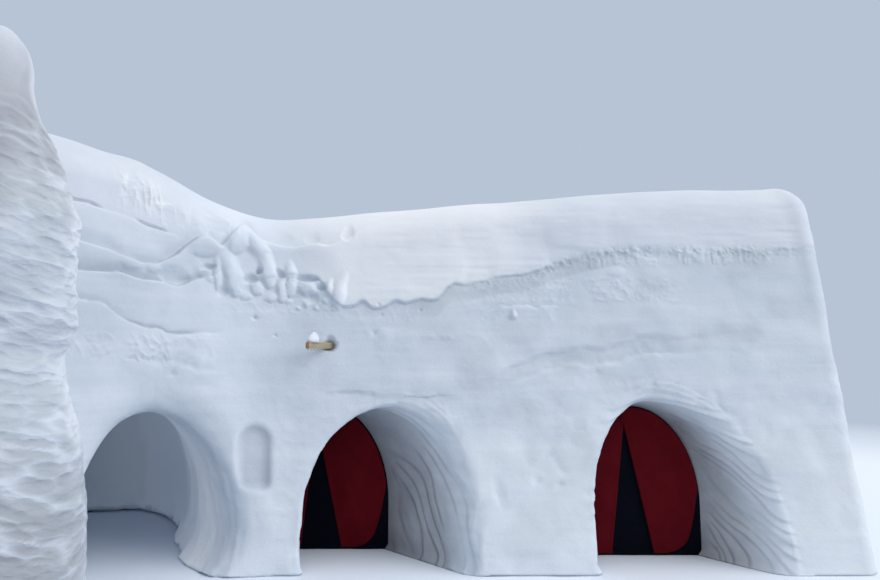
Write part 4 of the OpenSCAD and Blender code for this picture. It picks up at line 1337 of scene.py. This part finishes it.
def cloth_material(name, colours, sheen):
    """Tent cloth: a plain weave, small creases, and a stitched hem along its free edges."""
    m = Material(name)
    edge, run = m.given("edge"), m.given("run")
    weave = m.math("MAXIMUM", *(m.feed(m.add("ShaderNodeTexWave", bands_direction=axis), {
        "Vector": m.place, "Scale": WEAVE_PER_M, "Distortion": 0.0}).outputs["Fac"]
        for axis in ("X", "Z")))
    off_seam = m.math("ABSOLUTE", m.math("SUBTRACT", edge, SEAM_IN))
    on_seam = m.math("SUBTRACT", 1.0, m.math("MULTIPLY", off_seam, SEAM_SHARP))
    turns = m.math("MULTIPLY", run, STITCH_PER_M * 6.28 / 2)
    dashes = m.math("GREATER_THAN", m.math("SINE", turns), -0.3)
    stitches = m.math("MAXIMUM", m.math("MULTIPLY", on_seam, dashes), 0.0)
    fold = m.range(edge, *HEM_IN, 1.0, 0.0)
    tone = m.blend(m.range(m.noise(5.0, 4.0, 0.6), 0.35, 0.65), *colours)
    m.set(Base_Color=m.blend(m.math("MULTIPLY", stitches, 0.45), tone, colours[0]),
          Roughness=m.range(m.noise(22.0, 3.0), 0.3, 0.7, 0.62, 0.8),
          Sheen_Weight=sheen, Sheen_Roughness=0.5, Specular_IOR_Level=0.05)
    creases = m.noise(14.0, 4.0, 0.55, (1.0, 1.0, 0.35))
    m.bump([(creases, 0.006, 0.3), (fold, 0.0012, 0.8), (stitches, 0.0009, 0.8),
            (weave, 0.0003, 0.35)])
    return m.owner


SAWN_FACE = (-0.2885, -0.2875)  # along the batten, about its outer end


def wood_material(name):
    """Weathered softwood: long grain on the sides, rings on the sawn end."""
    m = Material(name)
    rings = m.feed(m.add("ShaderNodeTexWave", wave_type="RINGS", rings_direction="Y"), {
        "Vector": m.mapped({"Location": (0.05, 0.0, 0.09)}), "Scale": 46.0,
        "Distortion": 2.5, "Detail": 2.0, "Detail Scale": 3.0}).outputs["Fac"]
    fibres = m.noise(160.0, 4.0, 0.6, (1.0, 0.05, 1.0))
    sawn = m.math("MULTIPLY", m.range(m.axis("Y"), *SAWN_FACE, 1.0, 0.0), 0.75)
    tone = m.blend(rings, srgb(150, 140, 116), srgb(172, 160, 132))
    tone = m.blend(m.range(fibres, 0.35, 0.7, 0.0, 0.55), tone, srgb(124, 114, 92))
    m.set(Base_Color=m.blend(sawn, tone, srgb(176, 112, 66)), Roughness=0.78)
    m.bump([(fibres, 0.0009, 0.7), (rings, 0.0006, 0.4)])
    return m.owner


def ice_material(name):
    """Clear ice with a slightly frosted, uneven surface."""
    m = Material(name)
    m.set(Base_Color=srgb(226, 235, 243), Transmission_Weight=0.45, IOR=1.31,
          Roughness=m.range(m.noise(90.0, 3.0), 0.3, 0.7, 0.08, 0.35))
    m.bump([(m.noise(60.0, 3.0), 0.003, 0.4)])
    return m.owner


# Materials, each but the scalloped snow with the name of the frame's slot that it stands for
PACKED_SNOW = snow_material("packed_snow", grain=1.0), "packed_snow"
FRESH_SNOW = snow_material("fresh_snow", grain=0.8), "fresh_snow"
SCALLOPED_SNOW = snow_material("scalloped_snow", grain=1.0, scallops=0.55)
RED_CLOTH = cloth_material("red_tent_cloth", RED, sheen=0.03), "red_cloth"
BLACK_CLOTH = cloth_material("black_tent_cloth", BLACK, sheen=0.01), "black_cloth"
TIMBER = wood_material("sawn_softwood"), "timber"
ICE = ice_material("ice"), "fresh_snow"


# Fabric doors
CLOTH_GAP = 0.003
CLOTH_T = 0.0015
CLOTH_ROWS = 84
CLOTH_COLUMNS = 52
AREA_ROWS = 800
PARTING_APEX = (-0.068, 1.32)
PARTING_FOOT = 0.215
OVERLAP_W = 0.03
OVERLAP_FROM_APEX = (-0.02, 0.02)
FLAP_INSET = 0.012
FLAP_TOP = DOOR_H - CLOTH_GAP - FLAP_INSET
FLAP_SIDE_AT = tuple(zip(
    (0.025, 0.34), (0.035, 0.40), (0.06, 0.455), (0.10, 0.51), (0.16, 0.555),
    (0.25, 0.585), (0.42, 0.632), (0.67, 0.678), (1.5, 0.7)))


def arch_half_width(z, inset=0):
    """Half width of the doorway less the gap around the cloth, at a height."""
    w, h = DOOR_HALF_W - CLOTH_GAP - inset, DOOR_H - CLOTH_GAP - inset
    up = np.clip((z - ARCH_SPRING) / (h - ARCH_SPRING), 0, 1)
    return w * np.sqrt(1 - up * up)


def parting(z, side):
    """Place of the parting's edge: from its foot to its top, and straight up from there."""
    down = np.clip(1 - z / PARTING_APEX[1], 0, 1)
    return PARTING_APEX[0] + (side * PARTING_FOOT - PARTING_APEX[0]) * down


def fan_folds(a, z, depth, seed):
    """Soft folds that fan out from the top of the parting and grow towards the hem."""
    ua, uz = a - PARTING_APEX[0], PARTING_APEX[1] + 0.35 - z
    angle = np.arctan2(ua, uz)
    out = np.hypot(ua, uz)
    wave = np.sin(angle * 17 + seed) + 0.5 * np.sin(angle * 31 + 2.1 * seed)
    return depth * wave * np.clip(out / 1.4, 0, 1) ** 1.6


def nearest_on_rim(flat, rim):
    """Distance of each point from the rim, and how far along the rim its nearest place is."""
    edge, run = np.full(len(flat), 1.0), np.zeros(len(flat))
    start = 0.0
    for k, m in zip(rim, np.roll(rim, -1)):
        along = flat[m] - flat[k]
        length = float(np.hypot(*along))
        if length < 1e-6:
            continue
        t = np.clip((flat - flat[k]) @ along / length ** 2, 0, 1)
        away = np.hypot(*(flat - flat[k] - t[:, None] * along).T)
        near = away < edge
        edge[near] = away[near]
        run[near] = start + t[near] * length
        start += length
    return {"edge": edge, "run": run}


def cloth_sheet(name, door, heights, sides, depth, cloth):
    """A hung sheet between two sides, given like its depth by functions of height."""
    (low, high), (left, right) = heights, sides
    v = np.sin(np.linspace(0, math.pi / 2, CLOTH_ROWS + 1))
    z = np.repeat(low + (high - low) * v, CLOTH_COLUMNS + 1)
    u = np.tile(np.linspace(0, 1, CLOTH_COLUMNS + 1), CLOTH_ROWS + 1)
    a = left(z) + (right(z) - left(z)) * u
    places = np.column_stack([door[0] + a, door[1] - depth(a, z), z])
    grid = np.arange(len(z)).reshape(CLOTH_ROWS + 1, -1)
    faces = np.stack([grid[:-1, :-1], grid[:-1, 1:], grid[1:, 1:], grid[1:, :-1]], -1)
    rim = np.concatenate([grid[0], grid[1:, -1], grid[-1, -2::-1], grid[-2:0:-1, 0]])
    material, slot = cloth
    piece = mesh_object(name, places, faces.reshape(-1, 4), material,
                        values=nearest_on_rim(np.column_stack([a, z]), rim))
    thick = piece.modifiers.new("thickness", "SOLIDIFY")
    thick.thickness = CLOTH_T
    thick.offset = 0.0
    stand_in(piece, name)
    rows = np.linspace(low, high, AREA_ROWS)
    area = float((right(rows) - left(rows)).mean() * (high - low))
    width = float((right(rows)).max() - left(rows).min())


def fabric_door(bay, door, seed):
    """A black backing, and over it two red flaps that part from the foot up."""
    def behind(a, z):
        ripple = 0.003 * np.sin(9 * a + seed) * np.sin(2.2 * z)
        return 0.011 + ripple + fan_folds(a, z, 0.0018, seed)

    def front(out):
        def depth(a, z):
            up = np.sin(np.clip(z / 1.5, 0, 1) * math.pi)
            belly = 0.010 * np.clip(1 - (a / 0.7) ** 2, 0, 1) * up
            ripple = 0.0035 * np.sin(5 * a + 3 * z + seed)
            return out + belly + fan_folds(a, z, 0.0075, seed) + ripple
        return depth

    def flap_half_width(z):
        return arch_half_width(z, FLAP_INSET)

    def left_parting(z):
        return np.clip(parting(z, -1), -flap_half_width(z), flap_half_width(z))

    def right_side(z):
        return np.minimum(np.interp(z, *FLAP_SIDE_AT), flap_half_width(z))

    def right_parting(z):
        from_apex = (PARTING_APEX[1] + k for k in OVERLAP_FROM_APEX)
        edge = parting(z, 1) - OVERLAP_W * step(*from_apex, z)
        return np.minimum(np.maximum(edge, -right_side(z)), right_side(z))

    cloth_sheet(bay + "_door_backing", door, (0.004, DOOR_H - CLOTH_GAP),
                (lambda z: -arch_half_width(z), arch_half_width), behind, BLACK_CLOTH)
    cloth_sheet(bay + "_door_left_flap", door, (0.018, FLAP_TOP),
                (lambda z: -flap_half_width(z), left_parting), front(0.024), RED_CLOTH)
    cloth_sheet(bay + "_door_right_flap", door, (0.025, FLAP_TOP),
                (right_parting, right_side), front(0.029), RED_CLOTH)


# Batten end in the front, with snow on it and ice under it
BATTEN = (0.042, 0.062)
BATTEN_ROUND = 0.0025
BATTEN_OUT = 0.29
BATTEN_IN = 0.26
BATTEN_RINGS = 56
BATTEN_TURN = -30.0
SAWN_IN = 0.03  # share by which the sawn ends are smaller
MOUND_SIZE = (0.042, 0.076, 0.078)
MOUND_SINK = 0.0015
DRIPS = (  # x, y, radius and length
    (-0.008, -0.262, 0.009, 0.060), (0.010, -0.235, 0.006, 0.034),
    (0.004, -0.195, 0.008, 0.048), (-0.006, -0.165, 0.006, 0.032), (0.002, -0.13, 0.007, 0.026))


def at_batten(piece):
    """Moves a piece that was made along y to the batten's place and heading."""
    piece.location = (BEND_X + BATTEN_S, FRONT_Y + FRONT_BATTER * BATTEN_Z, BATTEN_Z)
    piece.rotation_euler = (0, 0, math.radians(BATTEN_TURN))
    return piece


def wrap(rings, columns, first_fan, last_fan):
    """Faces around rings of points that two more points close; a fan gives its corners."""
    k = np.arange(columns)
    after = (k + 1) % columns
    low, high = (np.full(columns, rings * columns + n) for n in (0, 1))
    end = (rings - 1) * columns
    around = [np.stack([a + k, a + after, a + columns + after, a + columns + k], 1)
              for a in range(0, end, columns)]
    return np.concatenate([*around, np.stack(first_fan(low, k, after), 1),
                           np.stack(last_fan(high, end + k, end + after), 1)])


def batten():
    """A sawn length of softwood with slightly rounded, uneven edges."""
    w, h = (size / 2 - BATTEN_ROUND for size in BATTEN)
    outline = np.array([(sx * w + BATTEN_ROUND * math.cos(a), sz * h + BATTEN_ROUND * math.sin(a))
                        for sx, sz, first in ((1, 1, 0), (-1, 1, 90), (-1, -1, 180), (1, -1, 270))
                        for a in np.radians(np.linspace(first, first + 90, 5))])
    rings = []
    for n, y in enumerate(np.linspace(-BATTEN_OUT, BATTEN_IN, BATTEN_RINGS)):
        across = outline * (1 - (SAWN_IN if n in (0, BATTEN_RINGS - 1) else 0.0))
        rings.append(np.insert(across, 1, y, axis=1))
    places = np.concatenate(rings)
    places += 0.0006 * np.column_stack([noise(places, (0.02, 0.15, 0.02), k)
                                        for k in (51, 52, 53)])
    places = np.concatenate([places, [[0, -BATTEN_OUT, 0], [0, BATTEN_IN, 0]]])
    faces = wrap(BATTEN_RINGS, len(outline), lambda end, k, after: (end, after, k, k),
                 lambda end, k, after: (end, k, after, after))
    material, slot = TIMBER
    stand_in(at_batten(mesh_object("batten_end", places, faces, material)), "batten_stub")


def ball(columns, rows):
    """Places and faces of a unit ball."""
    lat = np.linspace(-math.pi / 2, math.pi / 2, rows + 1)[1:-1]
    lon = np.linspace(0, 2 * math.pi, columns, endpoint=False)
    la, lo = (v.ravel() for v in np.meshgrid(lat, lon, indexing="ij"))
    places = np.column_stack([np.cos(la) * np.cos(lo), np.cos(la) * np.sin(lo), np.sin(la)])
    faces = wrap(len(lat), columns, lambda end, k, after: (end, after, k, k),
                 lambda end, k, after: (k, after, end, end))
    return np.concatenate([places, [[0, 0, -1], [0, 0, 1]]]), faces


def batten_snow():
    """A mound on the batten: flat below, and narrower and leaning inwards above."""
    unit, faces = ball(96, 60)
    up = np.clip(unit[:, 2], 0, 1)
    p = unit * MOUND_SIZE
    p[:, :2] *= (1.06 - 0.4 * up ** 1.5)[:, None]
    p[:, 1] += 0.022 * up
    p[:, 2] = np.where(p[:, 2] < 0, p[:, 2] * 0.55, p[:, 2])
    p += unit * (noise(p, 0.035, 61) * 0.005 + noise(p, 0.012, 62) * 0.0015)[:, None]
    p += [0, MOUND_SIZE[1] - BATTEN_OUT + 0.004, BATTEN[1] / 2 + 0.024]
    p[:, 2] = np.maximum(p[:, 2], BATTEN[1] / 2 - MOUND_SINK)
    material, slot = FRESH_SNOW
    mound = mesh_object("batten_snow_mound", p, faces, material, values={"fresh": np.ones(len(p))})
    stand_in(at_batten(mound), "batten_snow")


def icicles():
    """Short drips of ice under the batten."""
    unit, unit_faces = ball(24, 20)
    down = (1 - unit[:, 2]) / 2
    thin = np.where(down > 0.15, (1 - down) ** 0.8 / 0.87, 1)
    top = 0.004 - BATTEN[1] / 2
    places = np.concatenate([
        np.column_stack([unit[:, 0] * r * thin, unit[:, 1] * r * thin, -down * length])
        + [x, y, top] for x, y, r, length in DRIPS])
    faces = np.concatenate([unit_faces + n * len(unit) for n in range(len(DRIPS))])
    material, slot = ICE
    at_batten(mesh_object("batten_icicles", places, faces, material))


# Strengths of the looks of the snow, many of them painted shade or painted light
CEILING_PAINTED_SHADE = 0.35  # painted shade of the east tunnel's ceiling
NICHE_PAINTED_SHADE = 0.2
MELTED_GLAZE = 0.8
MOTTLED_GLAZE = 0.1
LIP_SHADE = 0.14
SEAM_SHADE = 0.07
WING_PAINTED_SHADE = 0.12
LIT_SIDE_PAINT = 0.32
CAP_FROST = 0.35
LOW_FACE_FROST = 0.24
PAINTED_GLOW = 2.6


def looks(rest, slope, crests, grooves):
    """How fresh, icy and frosty the snow is at each point, with painted highlights, painted shade,
    painted light and a painted glow among these looks.
    """
    x, y, z = rest.T
    s, d = run_coords(x, y)
    behind = d - FRONT_BATTER * z
    over_lip = z - smooth_line(s, CAP_LIP)
    over_seam = z - smooth_line(s, MIDDLE_SEAM)
    plane = on_front_plane(s, z)
    off_doors, off_wing = door_hollows(x, y, z), wing_hollow(x, y, z)
    off = np.minimum(off_doors, off_wing)
    in_wing = along_hollow(off_wing)
    in_niche = 1 - step(0.0, 0.03, niche(x, y, z))
    on_pier = pier_share(x, y, z, s, d)
    on_face = (behind < 0.2) * (1 - on_pier)
    on_solid_face = on_face * (off > 0.05)

    # painted highlight: the pier's side that faces PIER_BRIGHT_TURN, where the light falls, is
    # painted lighter
    painted_lit_side = on_pier * step(0.8, 1.04, slope @ np.append(aside(PIER_BRIGHT_TURN), 0))
    painted_lit_side *= step(-1.1, 0.4, noise(rest, (0.5, 0.5, 0.35), 65))
    # fresh: real fresh snow on the cap, the roof and the wing's top, and painted highlights on the
    # pier's crests and lit side
    fresh = np.maximum.reduce([
        step(-0.02, 0.10, over_lip) * step(-0.7, 0.5, s),
        step(-0.6, -0.2, z - roof_height(s, d)),
        step(3.0, 3.5, z) * step(0.3, -0.3, s),
        crests, painted_lit_side])

    # the tunnels take the icy grey, partly as a darker tone and partly as painted shade: more
    # deeply in, on the east tunnel's ceiling and along their grooves
    tunnels = along_hollow(off_doors) * step(0.02, 0.35, behind)
    overhead = (s > EAST_JOINT[0] - BEND_X) * step(0.0, 0.6, -slope[:, 2])
    tunnels *= (0.55 + 0.42 * step(0.3, 0.9, behind) + CEILING_PAINTED_SHADE * overhead
                + 0.35 * grooves)
    melted = 1 - step(0.03, 0.08, np.hypot(s - MELTED_S, z - BATTEN_Z) + (behind > 0.3))
    # the pier is darkened by height, partly a greyer icy tone and partly painted shade, less on
    # its painted-lighter crests and lit side
    pier_glaze_and_shade = np.interp(z, *PIER_GLAZE_AND_SHADE_AT) * (1 - 0.7 * crests) * (1 - 0.8 * painted_lit_side)
    mottled = step(0.0, 0.6, noise(plane, (0.45, 0.45, 0.25), 63)) * step(0.8, 1.6, s)
    under_lip = window(over_lip, -0.15, -0.01, 0.04) * window(s, 1.2, 3.2, 0.3)
    under_seam = window(over_seam, -0.12, 0.0, 0.04) * window(s, *SEAM_STRETCH)
    # painted shade also in the niche, under the cap's lip and the middle seam, and over the wing;
    # the melted ring is a stain and the mottling a tone
    glaze_and_shade = np.maximum.reduce([
        tunnels, on_pier * pier_glaze_and_shade, NICHE_PAINTED_SHADE * in_niche, MELTED_GLAZE * melted,
        MOTTLED_GLAZE * on_solid_face * mottled * (1 - fresh),
        LIP_SHADE * on_solid_face * under_lip, SEAM_SHADE * on_solid_face * under_seam,
        WING_PAINTED_SHADE * step(-0.4, -0.9, s) * step(0.35, 0.2, behind)])

    # painted highlight on loose run-down snow: its upright streaks are painted lighter
    run_down_and_highlit = curtain(s, z) * (0.05 + 0.5 * streaks(plane)) * (behind < 0.3) * (1 - on_pier)
    low_face = on_face * step(1.6, 0.9, z) * step(-1.2, -0.4, s) * (1 - step(0.1, 0.04, off))
    cap = window(s, 0.5, 1.8, 0.9) * step(0.0, 0.05, over_lip) * (behind < 0.6)
    # painted light: the wing's hollow is lighter except on walls that face +x, and so is the
    # pier's lit side; the cap and the lower face by the wing are lighter too
    frost_and_lit = (1 - in_niche) * np.maximum.reduce([
        in_wing * step(0.1, 0.7, behind) * (1 - 0.8 * step(-0.1, 0.7, slope[:, 0])),
        LIT_SIDE_PAINT * painted_lit_side, run_down_and_highlit, CAP_FROST * cap, LOW_FACE_FROST * low_face])

    # painted glow: the open room's walls that face -x give off light
    inside = PAINTED_GLOW * in_wing * step(0.2, 1.0, behind) * step(-0.5, 0.8, -slope[:, 0])
    return fresh, glaze_and_shade, frost_and_lit, inside


def snow_pieces():
    """The surface, its relief, and one piece for each node of snow."""
    rest, faces = Surface(*CAD_BOX).mesh()
    rest = settle(rest)
    rest[:, 2] = np.where(rest[:, 2] < FLOOR_SNAP, 0, rest[:, 2])
    slope = gradient(*rest.T)
    slope /= np.maximum(np.linalg.norm(slope, axis=1), 1e-9)[:, None]
    height, crests, grooves = relief(rest)
    low, high = (np.array(corner) for corner in CAD_BOX)
    places = rest + slope * height[:, None]
    places = np.clip(places, low + [BOX_GAP, BOX_GAP, 0], high - BOX_GAP)
    places[:, 2] = np.where(rest[:, 2] == 0, 0, places[:, 2])
    data = np.column_stack([rest, places, vertex_normals(places, faces),
                            *looks(rest, slope, crests, grooves)])
    found = {}
    data = divide(data, faces, NODES, found)
    places, normals = data[:, 3:6], data[:, 6:9]
    values = dict(zip(LOOKS, data[:, 9:].T))
    for node, its_faces in sorted(found.items()):
        fresh = node.endswith("snow_cap") or node == "pier_cap"
        material, slot = FRESH_SNOW if fresh else PACKED_SNOW
        if node.startswith("pier"):
            material = SCALLOPED_SNOW
        stand_in(mesh_object(node + "_snow", places, its_faces, material, normals, values),
                 node)


snow_pieces()
fabric_door("east", EAST_DOOR, seed=0.4)
fabric_door("middle", MIDDLE_DOOR, seed=2.3)
batten()
batten_snow()
icicles()


# Floor, lights and camera
FLOOR_COLOUR = srgb(222, 230, 243)
FLOOR_R = 40.0
FLOOR_CORNERS = 96
FLOOR_FADE = (9.0, 17.0)
BACKDROP = srgb(183, 196, 213)
SKY_COLOUR = (0.98, 0.99, 1.0, 1.0)
SKY_LOW = 0.47
SKY_HIGH = 1.0
CAMERA_AT = (-1.0, -6.7, 2.05)
CAMERA_UP = 5.5
SENSOR_W = 36.0
FOCAL_PX = 650
PICTURE_W_PX = 880


def floor():
    """A wide round floor that fades out far from the part."""
    ring = np.radians(np.linspace(0, 360, FLOOR_CORNERS, endpoint=False))
    places = np.column_stack([FLOOR_R * np.cos(ring), FLOOR_R * np.sin(ring), 0 * ring])
    mesh = bpy.data.meshes.new("floor")
    mesh.from_pydata(places.tolist(), [], [list(range(len(ring)))])
    m = Material("pale_floor")
    m.set(Base_Color=FLOOR_COLOUR, Roughness=0.9, Specular_IOR_Level=0.2)
    away = m.feed(m.add("ShaderNodeVectorMath", operation="LENGTH"), {0: m.place})
    m.show(m.mix_shaders(m.range(away.outputs["Value"], *FLOOR_FADE), m.shader.outputs[0],
                         m.add("ShaderNodeBsdfTransparent").outputs[0]))
    mesh.materials.append(m.owner)
    obj = bpy.data.objects.new("floor", mesh)
    bpy.context.scene.collection.objects.link(obj)


def world():
    """A pale sky, brighter overhead, which the camera sees as a plain backdrop."""
    w = Nodes(bpy.data.worlds.new("sky"), "ShaderNodeOutputWorld")
    way = w.add("ShaderNodeTexCoord").outputs["Generated"]
    up = w.feed(w.add("ShaderNodeSeparateXYZ"), {0: way}).outputs["Z"]
    strength = w.feed(w.add("ShaderNodeMapRange", interpolation_type="SMOOTHSTEP"), {
        "Value": up, "To Min": SKY_LOW, "To Max": SKY_HIGH}).outputs[0]
    light = w.feed(w.add("ShaderNodeBackground"), {"Color": SKY_COLOUR, "Strength": strength})
    seen = w.feed(w.add("ShaderNodeBackground"), {"Color": BACKDROP})
    ray = w.add("ShaderNodeLightPath").outputs
    direct = w.math("MAXIMUM", ray["Is Camera Ray"], ray["Is Transmission Ray"])
    w.show(w.mix_shaders(w.math("MAXIMUM", direct, ray["Is Glossy Ray"]),
                         light.outputs[0], seen.outputs[0]))
    bpy.context.scene.world = w.owner


def key_light(name, strength, softness, elevation, azimuth):
    """A soft distant lamp; azimuth is its bearing from the front, to the right."""
    lamp = bpy.data.lights.new(name, "SUN")
    lamp.energy = strength
    lamp.angle = math.radians(softness)
    obj = bpy.data.objects.new(name, lamp)
    obj.rotation_euler = (math.radians(90 - elevation), 0, math.radians(azimuth))
    bpy.context.scene.collection.objects.link(obj)


def camera():
    """The view from in front; its focal length is in pixels of a picture of the named width."""
    data = bpy.data.cameras.new("camera")
    data.sensor_width = SENSOR_W
    data.lens = SENSOR_W * FOCAL_PX / PICTURE_W_PX
    data.clip_end = 200.0
    obj = bpy.data.objects.new("camera", data)
    obj.location = CAMERA_AT
    obj.rotation_euler = (math.radians(90 + CAMERA_UP), 0, 0)
    bpy.context.scene.collection.objects.link(obj)
    bpy.context.scene.camera = obj


floor()
world()
key_light("soft_key", strength=1.7, softness=45.0, elevation=38.0, azimuth=72.0)
camera()
bpy.context.scene.view_settings.view_transform = "Standard"
